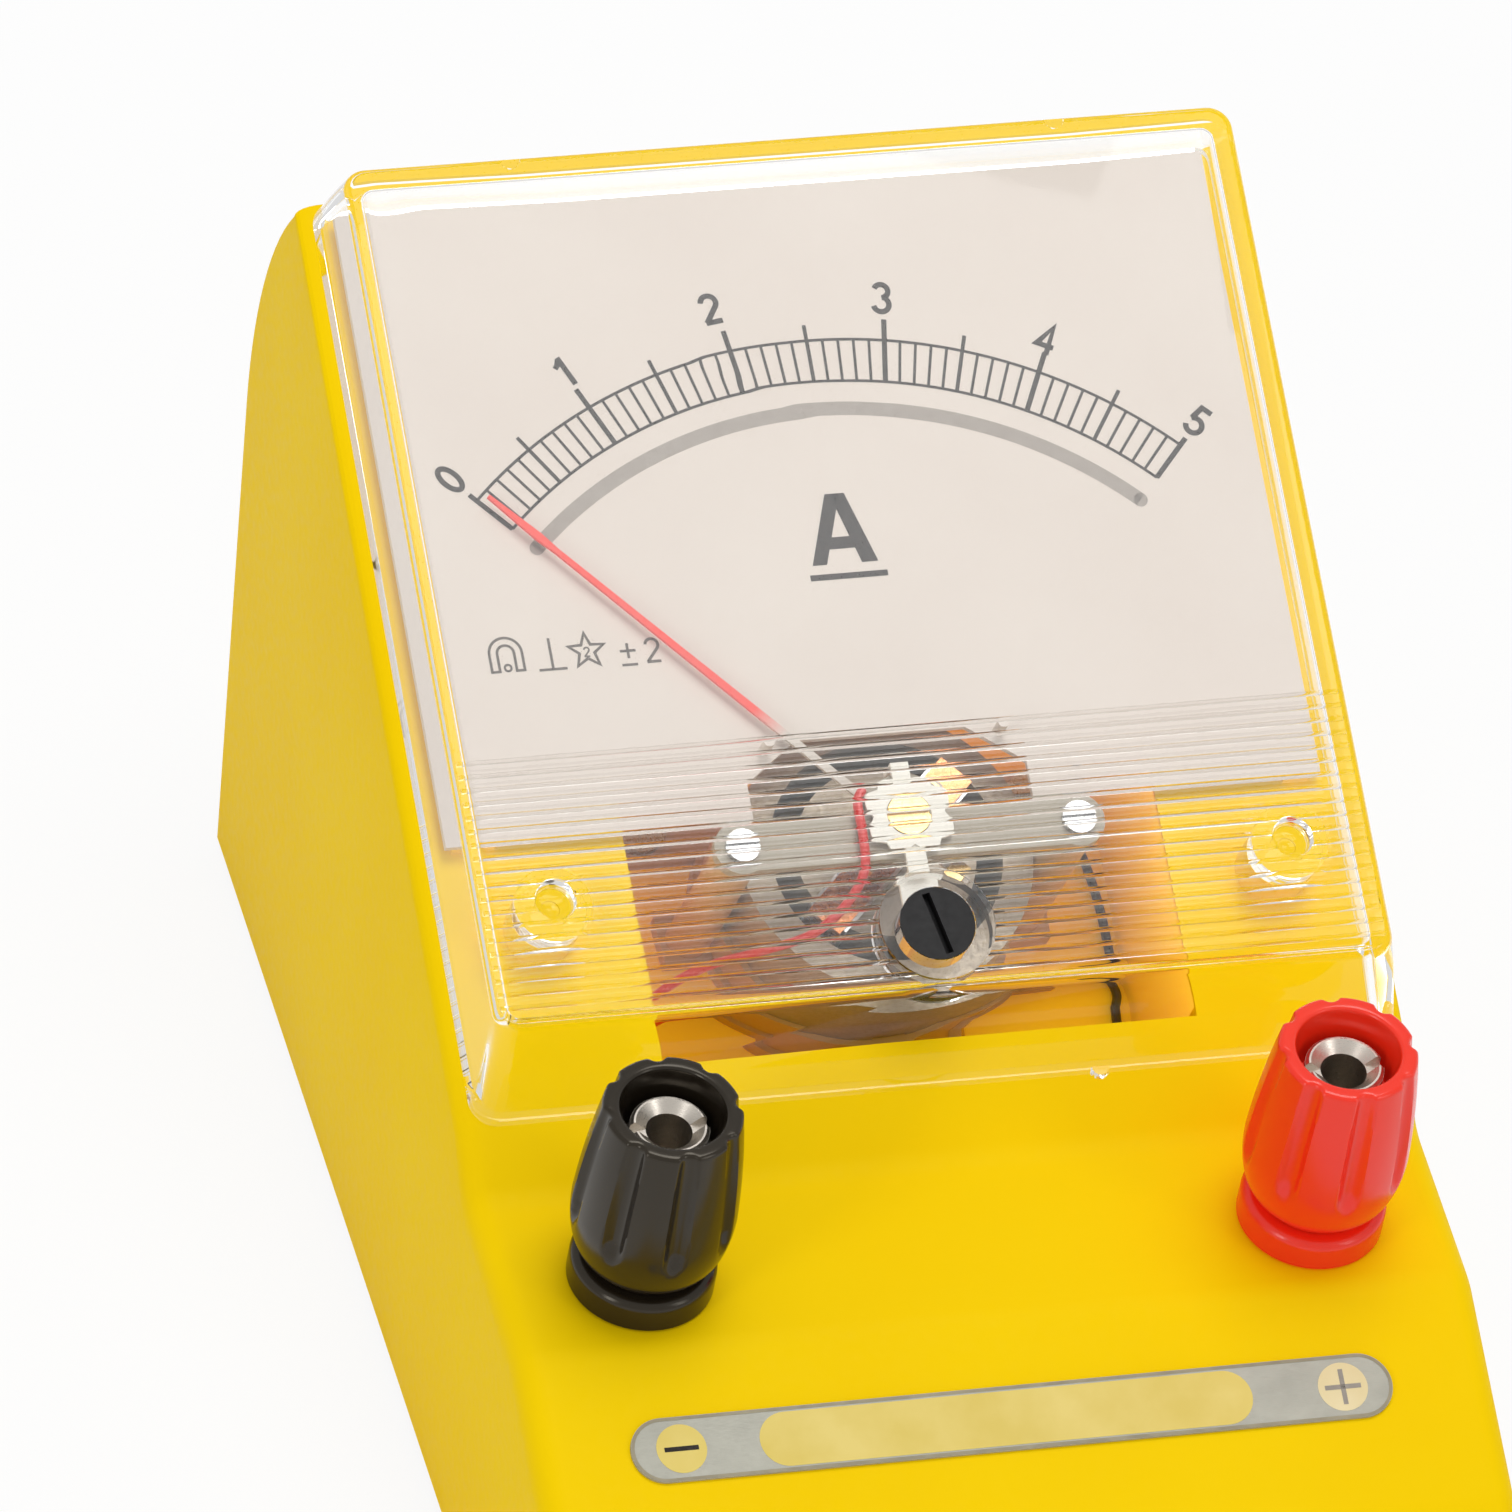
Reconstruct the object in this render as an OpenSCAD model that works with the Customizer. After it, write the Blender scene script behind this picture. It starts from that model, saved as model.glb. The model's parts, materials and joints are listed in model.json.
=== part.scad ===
// Bench ammeter: a moving-coil meter in a wedge-shaped moulded case, with a clear
// window over its sloping scale and two 4 mm binding posts on the ledge in front.
// Millimetres. +Z up, +X to the right, the front looks towards -Y, and the origin is
// on the table under the middle of the case.

/* [Case] */
// Width of the case
case_w = 85; // [80:1:100]
// Length of the case, front to back
case_l = 130; // [122:1:150]
// Wall thickness of the case
wall = 2.2; // [1.8:0.1:2.6]
// Height of the rubber feet under the case
foot_h = 1.5; // [1:0.1:3]
// Height of the front of the ledge above the bottom of the case
ledge_h = 30.4; // [28:0.2:34]
// Lean of the ledge and of the posts towards the front, in degrees
ledge_tilt = 4; // [0:0.5:8]
// Fall of the label face in front of the ledge, in degrees
front_slope = 24; // [20:1:30]

/* [Sloping face] */
// Lean of the face back from level, in degrees
face_tilt = 25.4; // [22:0.2:30]
// Length of the face, up the slope
face_len = 86; // [84:1:92]
// Height of the foot of the face above the bottom of the case
foot_of_face_h = 35.3; // [34:0.1:40]
// Radius of the back, where it turns over to the face
back_r = 35; // [33:1:40]

/* [Clear window cover] */
// Height of the cover at the foot of the face
cover_low = 8.5; // [8.5:0.1:10]
// Height of the cover at the top of the face
cover_high = 8; // [7:0.1:8.5]
// Thickness of the clear moulding
cover_t = 1.6; // [1.4:0.1:1.9]
// Number of reeds over the lower part of the window
reeds = 20; // [8:1:22]

/* [Scale and pointer] */
// Width of the scale plate
plate_w = 77; // [72:0.5:78]
// Distance of the pivot from the foot of the face, up the slope
pivot_s = 23; // [22.5:0.25:24]
// Radius of the outer line of the scale
scale_r = 46.2; // [40:0.2:48]
// Angle of the whole scale, zero to full, in degrees
scale_sweep = 85; // [70:1:88]

/* [Binding posts] */
// Distance between the two posts
post_gap = 59.4; // [50:0.2:66]
// Diameter of the socket in each post
socket_d = 4; // [3.9:0.05:4.1]
// Widest diameter of a cap
cap_d = 14.2; // [13.6:0.1:15]
// Number of flutes around a cap
flutes = 8; // [6:1:10]
// Height of the cap
cap_h = 18; // [17:0.1:19]

/* [Hidden] */
$fn = 64;
eps = 0.01;
corner_steps = 8;

// Clearances
run_gap = 0.05;         // running fit, on the radius
jewel_gap = 0.06;       // pivot in its jewel, on the radius
seat_gap = 0.2;         // a screw shank in its hole, on the radius
rim_gap = 0.3;          // base plate inside the case, all round
thread_gap = 0.08;      // threaded insert on its stem, on the radius

// Case outline, seen from the side as [y, z]
front_y = -case_l / 2;
front_lean = 1.2;       // how far the front leans back at its foot
back_y = case_l / 2;
foot_y = -20;
foot_z = foot_h + foot_of_face_h;
top_y = foot_y + face_len * cos(face_tilt);
top_z = foot_z + face_len * sin(face_tilt);
back_in = back_y - top_y;
arc_y = back_y - back_r;
arc_z = top_z - sqrt(pow(back_r, 2) - pow(back_r - back_in, 2));
back_lean = 11;
ledge_front_y = -42.5;
ledge_back_y = -25;
nose_z = foot_h + ledge_h - (ledge_front_y - front_y) * tan(front_slope);
edge_w = 2.4;           // width of the soft edge along both sides
edge_face = 0.9;        // its depth beside the face and the back
edge_front = 2.6;       // its depth beside the ledge and the label face
edge_steps = 6;

// Well in the face, which holds the movement
well_w = 47.6;
well_s0 = 5.2;
well_s1 = 46;
well_deep = 19;
well_wall = 1.6;

// Cover
cover_w = 82.5;
cover_draft = 1.2;
cover_s0 = 0.3;
cover_s1 = face_len + 0.2;
cover_rise = 5.3;       // the cover's front starts this far up the slope
cover_front_s = cover_s0 + cover_rise;
cover_back_s = cover_s1 - 0.4;
cover_fall = atan((cover_low - cover_high) / (cover_back_s - cover_front_s));
reed_s0 = cover_front_s + 0.9;
reed_s1 = 30.2;
reed_pitch = (reed_s1 - reed_s0) / (reeds - 1);
reed_rise = 0.25;
reed_foot = 0.4;        // width of a reed at its foot, as a share of the pitch
reed_crest = 0.16;      // and at its crest
peg_x = 32.8;
peg_s = 17.2;
peg_r = 1.4;
boss_r = 3.2;
boss_h = 4.2;
dimple_r = 2.5;

// Scale plate
plate_t = 0.6;
plate_n = 1;            // underside of the plate above the face
plate_s0 = pivot_s + 2.2;
plate_s1 = face_len - 2;

// Zero adjuster
adj_s = 12;
adj_r = 3.3;
adj_neck_r = 1.3;
adj_pin_r = 0.5;
adj_ecc = 1.2;
adj_boss_r = 5.1;
adj_boss_n = 4.9;       // lower end of the clear boss
adj_floor = 0.9;
adj_lip = 0.4;          // flange under the boss
adj_slot_w = 0.7;
adj_slot_turn = -78;
adj_arm = pivot_s - adj_s - adj_ecc;

// Movement, measured along n, outwards from the face
frame_t = 1.8;
frame_top = -well_deep + frame_t;
frame_w = 40;
frame_lug = 2.8;        // half the breadth of the bar under the frame's screws
frame_rim = 1.2;        // the frame's disc beyond the yoke
frame_seat = 0.6;       // the yoke's seat beyond the yoke
frame_screw_x = frame_w / 2 - 2.5;
frame_screw_s = 9;
frame_screw_r = 1;
frame_head_r = 2.2;
frame_head_h = 1.2;
ring_in = 10.3;
ring_out = 13;
ring_n0 = -12.5;
ring_n1 = -3;
core_r = 8;
core_n1 = -3.2;
strap_t = 0.5;
strap_w = 3;
coil_in = 8.5;
coil_out = 9.6;
coil_n0 = -14.2;
coil_n1 = -1.2;
coil_leg = 1.2;
coil_w = 4;
former_t = 0.35;
staff_r = 0.6;
tip_r = 0.22;
post_x = 15;
post_s = -1.5;          // frame pillars, from the pivot up the slope
pillar_r = 2;
bridge_screw_r = 0.7;
bridge_head_r = 1.5;
bridge_head_h = 0.7;
bridge_n0 = 3.9;
bridge_t = 1.2;
bridge_w = 4.4;
bridge_boss_r = 4;
jewel_r = 1.25;
jewel_head_r = 1.9;
jewel_top = 5.95;
lever_n = bridge_n0 + bridge_t + 0.1;
lever_t = 0.4;
lever_w = 1.8;
fork_w = 3.4;
spring_arm_w = 1.6;
spring_arm_l = 4.9;
lever_bend = 5.3;        // from the pivot to the back of the lever's step down
fork_n = 3.6;
pointer_n = 2.4;
pointer_t = 0.35;
pointer_len = scale_r - 0.6;
pointer_root = 0.42;    // half its width at the hub
pointer_neck = 0.24;    // and behind its lance-shaped tip
lance = 7.5;            // length of that tip
rest_turn = scale_sweep / 2;
stop_turn = rest_turn + 4.5;
spring_turns = 4;
spring_r = 3.5;

// Binding posts, measured along w, up from the ledge
post_y = -34.6;
ledge_z = foot_h + ledge_h + (post_y - ledge_front_y) * tan(ledge_tilt);
collar_r = 6.35;
collar_h = 3.2;
spigot_r = 4.4;
stem_r = 3.4;
stem_top = 19.3;
stem_seat = 1.2;        // depth of the stem's seat in its collar
lead_in_r = 2.95;       // mouth of the socket's countersink
lead_in_h = 0.9;
stud_r = 2;
stud_low = -12.5;
socket_deep = 13.4;
insert_r = 4.5;
insert_h = 5;
insert_z = 1.2;         // foot of the insert above the foot of its cap
cap_gap = 0.3;          // cap around its stem
cap_low = collar_h + 0.15;
wide_z = 0.34 * cap_h;  // height of the cap's widest line above its foot
cap_foot_r = 4.9;
cap_top_r = 5.9;
mouth_r = 4.9;
mouth_h = 5;
flute_r = 1;
flute_out = 0.25;       // axis of a flute outside the cap's widest line
washer_t = 0.8;
shunt_t = 0.6;
nut_h = 3.2;

// ---- frames ----

// Stands its children on the sloping face: x across, y up the slope, z outwards
module on_face(s = 0, n = 0) {
    translate([0, foot_y, foot_z])
        rotate([face_tilt, 0, 0])
            translate([0, s, n])
                children();
}

// The same, with the origin on the pivot
module on_pivot(n = 0) {
    on_face(pivot_s, n) children();
}

// Stands its children on the ledge at one of the posts
module at_post(side) {
    translate([0, post_y, ledge_z])
        rotate([ledge_tilt, 0, 0])
            translate([side * post_gap / 2, 0, 0])
                children();
}

// ---- helpers ----

function unit(v) = v / norm(v);

// An arc that rounds the corner p between its neighbours a and b
function corner(p, a, b, r, steps) =
    let (u = unit(a - p))
    let (v = unit(b - p))
    let (half = acos(u * v) / 2)
    let (c = p + unit(u + v) * r / sin(half))
    let (start = p + u * r / tan(half) - c)
    let (end = p + v * r / tan(half) - c)
    let (a0 = atan2(start[1], start[0]))
    let (turn = (atan2(end[1], end[0]) - a0 + 540) % 360 - 180)
    [for (i = [0:steps]) c + r * [cos(a0 + turn * i / steps), sin(a0 + turn * i / steps)]];

// Rounds each corner [y, z, r] of a closed outline
function softened(v, steps = 6) =
    [for (i = [0:len(v) - 1])
        let (p = [v[i][0], v[i][1]])
        let (before = v[(i + len(v) - 1) % len(v)])
        let (after = v[(i + 1) % len(v)])
        each v[i][2] > 0
            ? corner(p, [before[0], before[1]], [after[0], after[1]], v[i][2], steps)
            : [p]];

function arc(c, r, a0, a1, steps) =
    [for (i = [0:steps])
        let (a = a0 + (a1 - a0) * i / steps)
        c + r * [cos(a), sin(a)]];

module rounded_rect(w, l, r) {
    polygon([for (k = [0:3])
        let (c = [(w / 2 - r) * (k == 0 || k == 3 ? 1 : -1), (l / 2 - r) * (k < 2 ? 1 : -1)])
        each arc(c, r, 90 * k, 90 * k + 90, corner_steps)]);
}

// A block from (-w/2, s0) to (w/2, s1), between n0 and n1
module slab(w, s0, s1, n0, n1) {
    translate([-w / 2, s0, n0])
        cube([w, s1 - s0, n1 - n0]);
}

module tube(r_out, r_in, h) {
    difference() {
        cylinder(r = r_out, h = h);
        translate([0, 0, -1])
            cylinder(r = r_in, h = h + 2);
    }
}

// A swept round wire through the points of a route
module wire(route, r, sides = 8) {
    n = len(route);
    rings = [for (i = [0:n - 1])
        let (t = unit(route[min(i + 1, n - 1)] - route[max(i - 1, 0)]))
        let (u = unit(cross(t, abs(t[0]) < 0.9 ? [1, 0, 0] : [0, 1, 0])))
        let (v = cross(t, u))
        for (k = [0:sides - 1])
            route[i] + r * (u * cos(360 * k / sides) + v * sin(360 * k / sides))];
    polyhedron(rings, concat(
        [[for (k = [0:sides - 1]) k]],
        [for (i = [0:n - 2])
            for (k = [0:sides - 1])
                [i * sides + k, (i + 1) * sides + k,
                 (i + 1) * sides + (k + 1) % sides, i * sides + (k + 1) % sides]],
        [[for (k = [sides - 1:-1:0]) (n - 1) * sides + k]]));
}

// Points along a route, smoothed between hand-set points
function smooth_route(p, steps = 4) =
    concat([for (i = [0:len(p) - 2])
        let (a = p[max(i - 1, 0)])
        let (b = p[i])
        let (c = p[i + 1])
        let (d = p[min(i + 2, len(p) - 1)])
        for (k = [0:steps - 1])
            let (t = k / steps)
            0.5 * (2 * b + (c - a) * t + (2 * a - 5 * b + 4 * c - d) * t * t
                + (3 * b - a - 3 * c + d) * t * t * t)],
        [p[len(p) - 1]]);

// ---- case ----

case_outline = concat(
    softened([
        [front_y + front_lean, foot_h, 0],
        [front_y, nose_z, 7],
        [ledge_front_y, foot_h + ledge_h, 6],
        [ledge_back_y, foot_h + ledge_h + (ledge_back_y - ledge_front_y) * tan(ledge_tilt), 5],
        [foot_y, foot_z, 0],
        [top_y, top_z, 0],
        [arc_y + back_r * cos(back_lean) - arc_low_drop(), foot_h, 0]]));

function arc_low_drop() =
    (arc_z - back_r * sin(back_lean) - foot_h) * tan(back_lean);

arc_top = atan2(top_z - arc_z, top_y - arc_y);
back_arc = arc([arc_y, arc_z], back_r, arc_top - 2, -back_lean, 14);
n_out = len(case_outline);
side_outline = concat(
    [for (i = [0:n_out - 2]) case_outline[i]],
    back_arc,
    [case_outline[n_out - 1]]);

// How much of the front's deeper edge applies at a point of the outline
function front_share(y) =
    let (t = max(0, min(1, (foot_y + 6 - y) / 12)))
    t * t * (3 - 2 * t);

function pulled_in(i, depth) =
    let (n = len(side_outline))
    let (p = side_outline[i])
    let (u = unit(p - side_outline[(i + n - 1) % n]))
    let (v = unit(side_outline[(i + 1) % n] - p))
    let (inward = unit([u[1] + v[1], -u[0] - v[0]]))
    let (d = depth * (edge_face + (edge_front - edge_face) * front_share(p[0])))
    p[1] < foot_h + eps ? [p[0] + sign(-p[0]) * d, p[1]] : p + inward * d;

module case_solid() {
    n = len(side_outline);
    stations = concat(
        [for (k = [edge_steps:-1:0])
            let (turn = 90 * k / edge_steps)
            [-case_w / 2 + edge_w * (1 - sin(turn)), turn]],
        [for (k = [0:edge_steps])
            let (turn = 90 * k / edge_steps)
            [case_w / 2 - edge_w * (1 - sin(turn)), turn]]);
    m = len(stations);
    points = [for (st = stations)
        for (i = [0:n - 1])
            let (q = pulled_in(i, 1 - cos(st[1])))
            [st[0], q[0], q[1]]];
    sides = [for (j = [0:m - 2])
        for (i = [0:n - 1])
            [j * n + i, j * n + (i + 1) % n, (j + 1) * n + (i + 1) % n, (j + 1) * n + i]];
    polyhedron(points, concat(
        [[for (i = [n - 1:-1:0]) i]],
        sides,
        [[for (i = [0:n - 1]) (m - 1) * n + i]]));
}

// Anything drawn flat in the side view, w wide across the case
module side_extrude(w) {
    translate([-w / 2, 0, 0])
        rotate([90, 0, 90])
            linear_extrude(w)
                children();
}

module case_hollow() {
    side_extrude(case_w - 2 * wall)
        for (down = [0, -4])
            translate([0, down])
                offset(delta = -wall)
                    polygon(side_outline);
}

base_screw_y = [front_y + 13, back_y - 21];
base_screw_x = case_w / 2 - 9;
base_screw_r = 1.3;
base_screw_l = 9;
base_head_r = 2.9;
base_head_h = 1.3;
base_boss_r = 3.4;
base_boss_h = 11;

module at_base_screws() {
    for (x = [-1, 1])
        for (y = base_screw_y)
            translate([x * base_screw_x, y, foot_h])
                children();
}

module well_block() {
    on_face()
        slab(well_w + 2 * well_wall, well_s0 - well_wall, well_s1 + well_wall,
             -well_deep - well_wall, -wall / 2);
}

module case() {
    color("gold")
    difference() {
        union() {
            difference() {
                case_solid();
                case_hollow();
            }
            well_block();
            at_base_screws()
                translate([0, 0, wall + rim_gap])
                    cylinder(r = base_boss_r, h = base_boss_h);
            // stays from the bosses to the side walls
            for (x = [-1, 1])
                for (y = base_screw_y)
                    translate([x * (base_screw_x + 4.4) - 3.2, y - 0.8, foot_h + wall + rim_gap])
                        cube([6.4, 1.6, base_boss_h]);
            // bosses that the cover's pegs press into
            on_face()
                for (x = [-1, 1])
                    translate([x * peg_x, peg_s, -wall / 2])
                        cylinder(r = boss_r, h = boss_h + wall / 2);
            // rails that carry the scale plate
            on_face()
                for (x = [-1, 1])
                    translate([x * (plate_w / 2 - 2) - 1.2, plate_s0, -wall / 2])
                        cube([2.4, plate_s1 - plate_s0 - 1, plate_n + wall / 2]);
        }
        on_face()
            slab(well_w, well_s0, well_s1, -well_deep, 2);
        on_face()
            for (x = [-1, 1])
                translate([x * peg_x, peg_s, 0])
                    cylinder(r = peg_r, h = boss_h + 1);
        on_face()
            for (x = [-1, 1])
                translate([x * frame_screw_x, pivot_s + frame_screw_s, -well_deep - well_wall - 1])
                    cylinder(r = frame_screw_r, h = well_wall + 2);
        // ways out of the well for the two leads
        on_face()
            for (x = [-1, 1])
                translate([x * lead_x, well_s0 + lead_in, -well_deep - well_wall - 1])
                    cylinder(r = lead_hole_r, h = well_wall + 2);
        for (side = [-1, 1])
            at_post(side)
                translate([0, 0, -wall - 1.5])
                    cylinder(r = spigot_r + run_gap, h = wall + 3);
        at_base_screws()
            cylinder(r = base_screw_r, h = base_boss_h);
    }
}

lead_x = 20.5;
lead_in = 3.2;
lead_hole_r = 1.2;

module base_outline(inset) {
    y0 = front_y + front_lean + wall + inset;
    y1 = side_outline[len(side_outline) - 1][0] - wall - inset;
    translate([0, (y0 + y1) / 2])
        rounded_rect(case_w - 2 * wall - 2 * inset, y1 - y0, 1);
}

module base_plate() {
    color("gold")
    difference() {
        translate([0, 0, foot_h])
            linear_extrude(wall)
                base_outline(rim_gap);
        at_base_screws()
            translate([0, 0, -1])
                cylinder(r = base_screw_r + 0.2 + seat_gap, h = wall + 2);
        at_base_screws()
            translate([0, 0, -eps])
                cylinder(r1 = base_head_r + 0.1, r2 = base_screw_r + 0.4, h = base_head_h);
        at_feet()
            translate([0, 0, -1])
                cylinder(r = foot_stem_r, h = wall + 2);
    }
}

foot_r = 4.6;
foot_stem_r = 2;
foot_button_r = 2.5;
foot_x = case_w / 2 - 18;
foot_at = [front_y + 10, back_y - 19];

module at_feet() {
    for (x = [-1, 1])
        for (y = foot_at)
            translate([x * foot_x, y, foot_h])
                children();
}

module rubber_feet() {
    color("dimgray")
    at_feet() {
        translate([0, 0, -foot_h])
            cylinder(r1 = foot_r - 0.5, r2 = foot_r, h = foot_h);
        translate([0, 0, -eps])
            cylinder(r = foot_stem_r, h = wall + 0.2);
        translate([0, 0, wall + 0.1])
            cylinder(r1 = foot_button_r, r2 = foot_button_r - 0.9, h = 1.1);
    }
}

module base_screws() {
    color("silver")
    at_base_screws()
    difference() {
        union() {
            cylinder(r1 = base_head_r, r2 = base_screw_r + 0.2, h = base_head_h);
            cylinder(r = base_screw_r, h = base_screw_l);
        }
        for (turn = [0, 90])
            rotate(turn)
                translate([-1.6, -0.3, -eps])
                    cube([3.2, 0.6, 0.8]);
    }
}

label_l = 67.2;
label_x = -0.5;
label_h = 5.8;
label_t = 0.3;
label_y = -51.1;

module label_strip() {
    color("silver")
    translate([label_x, label_y, foot_h + ledge_h + (label_y - ledge_front_y) * tan(front_slope)])
        rotate([front_slope, 0, 0])
            linear_extrude(label_t)
                hull()
                    for (x = [-1, 1])
                        translate([x * (label_l - label_h) / 2, 0])
                            circle(label_h / 2);
}

// ---- clear cover ----

// Lays its children on the cover's outer face, whose low edge is at y = 0
module on_cover(inset = 0) {
    translate([0, cover_front_s, cover_low - inset])
        rotate([-cover_fall, 0, 0])
            children();
}

module cover_skin(inset, base_n) {
    w0 = cover_w - 2 * inset;
    w1 = cover_w - 2 * cover_draft - 2 * inset;
    front_l = cover_back_s - cover_front_s - 2 * inset;
    hull() {
        translate([0, (cover_s0 + cover_s1) / 2, base_n])
            linear_extrude(eps)
                rounded_rect(w0, cover_s1 - cover_s0 - 2 * inset, 2.2 - inset / 2);
        on_cover(inset + 0.8)
            translate([0, front_l / 2 + inset, 0])
                linear_extrude(eps)
                    rounded_rect(w1, front_l, 2 - inset / 2);
        on_cover(inset + eps)
            translate([0, front_l / 2 + inset, 0])
                linear_extrude(eps)
                    rounded_rect(w1 - 1.2, front_l - 1.2, 1.5 - inset / 2);
    }
}

function cover_n(s) = cover_low - (s - cover_front_s) * tan(cover_fall);

module reed() {
    foot = reed_pitch * reed_foot / 2;
    crest = reed_pitch * reed_crest / 2;
    rotate([90, 0, 90])
        linear_extrude(reed_len)
            polygon([[-foot, -0.2], [-foot, 0.04], [-crest, reed_rise],
                     [crest, reed_rise], [foot, 0.04], [foot, -0.2]]);
}

reed_len = cover_w - 2 * cover_draft - 3.4;

module window_cover() {
    boss_top = cover_n(adj_s);
    color([0.93, 0.95, 0.95, 0.35])
    on_face()
    difference() {
        union() {
            difference() {
                cover_skin(0, 0);
                cover_skin(cover_t, -1);
            }
            for (i = [0:reeds - 1])
                on_cover()
                    translate([-reed_len / 2, reed_s0 - cover_front_s + i * reed_pitch, 0])
                        reed();
            translate([0, adj_s, adj_boss_n])
                cylinder(r = adj_boss_r, h = boss_top - adj_boss_n + 0.5);
            for (x = [-1, 1])
                translate([x * peg_x, peg_s, 0.4])
                    cylinder(r = peg_r, h = cover_n(peg_s) - 1);
            for (x = [-1, 1])
                translate([x * peg_x, peg_s, boss_h])
                    cylinder(r = dimple_r + 0.9, h = cover_n(peg_s) - boss_h - 0.4);
        }
        translate([0, adj_s, adj_boss_n + adj_floor])
            cylinder(r = adj_r + run_gap, h = 6);
        translate([0, adj_s, adj_boss_n - 1])
            cylinder(r = adj_neck_r + run_gap, h = 6);
        for (x = [-1, 1])
            translate([x * peg_x, peg_s, cover_n(peg_s) - 1.4])
                cylinder(r = dimple_r, h = 4);
    }
}

module zero_adjuster() {
    head_n = adj_boss_n + adj_floor + run_gap;
    head_top = cover_n(adj_s) + 0.35;
    color([0.12, 0.12, 0.13])
    on_face(adj_s) {
        difference() {
            translate([0, 0, head_n])
                cylinder(r = adj_r, h = head_top - head_n);
            rotate(adj_slot_turn)
                translate([-adj_r * 0.86, -adj_slot_w / 2, head_top - 1])
                    cube([adj_r * 1.72, adj_slot_w, 2]);
        }
        translate([0, 0, adj_boss_n - run_gap - eps])
            cylinder(r = adj_neck_r, h = adj_floor + 0.2);
        translate([0, 0, adj_boss_n - run_gap - adj_lip])
            cylinder(r = adj_ecc + adj_pin_r + 0.15, h = adj_lip);
        translate([0, adj_ecc, fork_n - 0.4])
            cylinder(r = adj_pin_r, h = adj_boss_n - fork_n + 0.2);
    }
}

// The lever turns around the head of the top jewel screw and carries the spring's end
module zero_lever() {
    drop = lever_n - fork_n;
    color("goldenrod")
    on_pivot()
    difference() {
        union() {
            translate([0, 0, lever_n])
                cylinder(r = 3.1, h = lever_t);
            slab(lever_w, -lever_bend, 0, lever_n, lever_n + lever_t);
            slab(lever_w, -lever_bend, lever_t - lever_bend, fork_n, lever_n + lever_t);
            slab(fork_w, -adj_arm - 1.6, lever_t - lever_bend, fork_n, fork_n + lever_t);
            slab(spring_arm_w, 0, spring_arm_l, lever_n, lever_n + lever_t);
            slab(spring_arm_w, spring_arm_l - lever_t, spring_arm_l,
                 pointer_n + pointer_t + 0.3, lever_n + lever_t);
        }
        translate([0, 0, fork_n - 1])
            cylinder(r = jewel_head_r + run_gap, h = drop + 3);
        slab(2 * adj_pin_r + 0.3, -adj_arm - 3, -adj_arm + 1.1, fork_n - 1, fork_n + 1);
    }
}

module scale_plate() {
    side_x = 12.5;
    side_s = pivot_s + 5.6;
    top_x = 7.6;
    top_s = pivot_s + 9.2;
    color("oldlace")
    on_face(0, plate_n)
        linear_extrude(plate_t)
            difference() {
                translate([0, (plate_s0 + plate_s1) / 2])
                    square([plate_w, plate_s1 - plate_s0], center = true);
                // round the movement
                polygon([[-side_x, plate_s0 - 1], [-side_x, side_s], [-top_x, top_s],
                         [top_x, top_s], [side_x, side_s], [side_x, plate_s0 - 1]]);
            }
}

// ---- movement ----

module movement_frame() {
    color("ivory")
    on_pivot()
    difference() {
        union() {
            translate([0, 0, -well_deep])
                cylinder(r = ring_out + frame_rim, h = frame_t);
            slab(2 * (post_x + pillar_r + 0.5), post_s - pillar_r - 0.6, post_s + pillar_r + 0.6,
                 -well_deep, frame_top);
            slab(frame_w, frame_screw_s - frame_lug, frame_screw_s + frame_lug, -well_deep, frame_top);
            translate([0, 0, frame_top])
                tube(ring_out + frame_seat, ring_in + 0.4, ring_n0 - frame_top);
            for (x = [-1, 1])
                translate([x * post_x, post_s, frame_top - eps])
                    cylinder(r = pillar_r, h = bridge_n0 - frame_top + eps);
        }
        translate([0, 0, -well_deep - 1])
            cylinder(r = jewel_r, h = frame_t + 2);
        for (x = [-1, 1])
            translate([x * post_x, post_s, bridge_n0 - 4])
                cylinder(r = bridge_screw_r, h = 5);
        for (x = [-1, 1])
            translate([x * frame_screw_x, frame_screw_s, -well_deep - 1])
                cylinder(r = frame_screw_r + 0.25 + seat_gap, h = frame_t + 2);
        // the yoke stands between the pillars
        translate([0, 0, ring_n0])
            cylinder(r = ring_out + 0.02, h = bridge_n0 - ring_n0 + 1);
    }
}

module frame_screws() {
    color("silver")
    on_pivot()
    for (x = [-1, 1])
        translate([x * frame_screw_x, frame_screw_s, 0])
            difference() {
                union() {
                    translate([0, 0, frame_top])
                        cylinder(r = frame_head_r, h = frame_head_h);
                    translate([0, 0, frame_top - 4])
                        cylinder(r = frame_screw_r, h = 4 + eps);
                }
                translate([-frame_head_r - 1, -0.3, frame_top + frame_head_h / 2])
                    cube([2 * frame_head_r + 2, 0.6, frame_head_h]);
            }
}

module iron_yoke() {
    color("darkgray")
    on_pivot(ring_n0)
    difference() {
        tube(ring_out, ring_in, ring_n1 - ring_n0);
        translate([-strap_w / 2, -ring_out, -eps])
            cube([strap_w, 2 * ring_out, strap_t + eps]);
    }
}

module core_magnet() {
    color("slategray")
    on_pivot(ring_n0 + strap_t)
        cylinder(r = core_r, h = core_n1 - ring_n0 - strap_t);
}

module core_strap() {
    color("goldenrod")
    on_pivot(ring_n0)
        translate([-strap_w / 2 + 0.02, -ring_out + 0.6, 0])
            cube([strap_w - 0.04, 2 * ring_out - 1.2, strap_t]);
}

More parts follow.
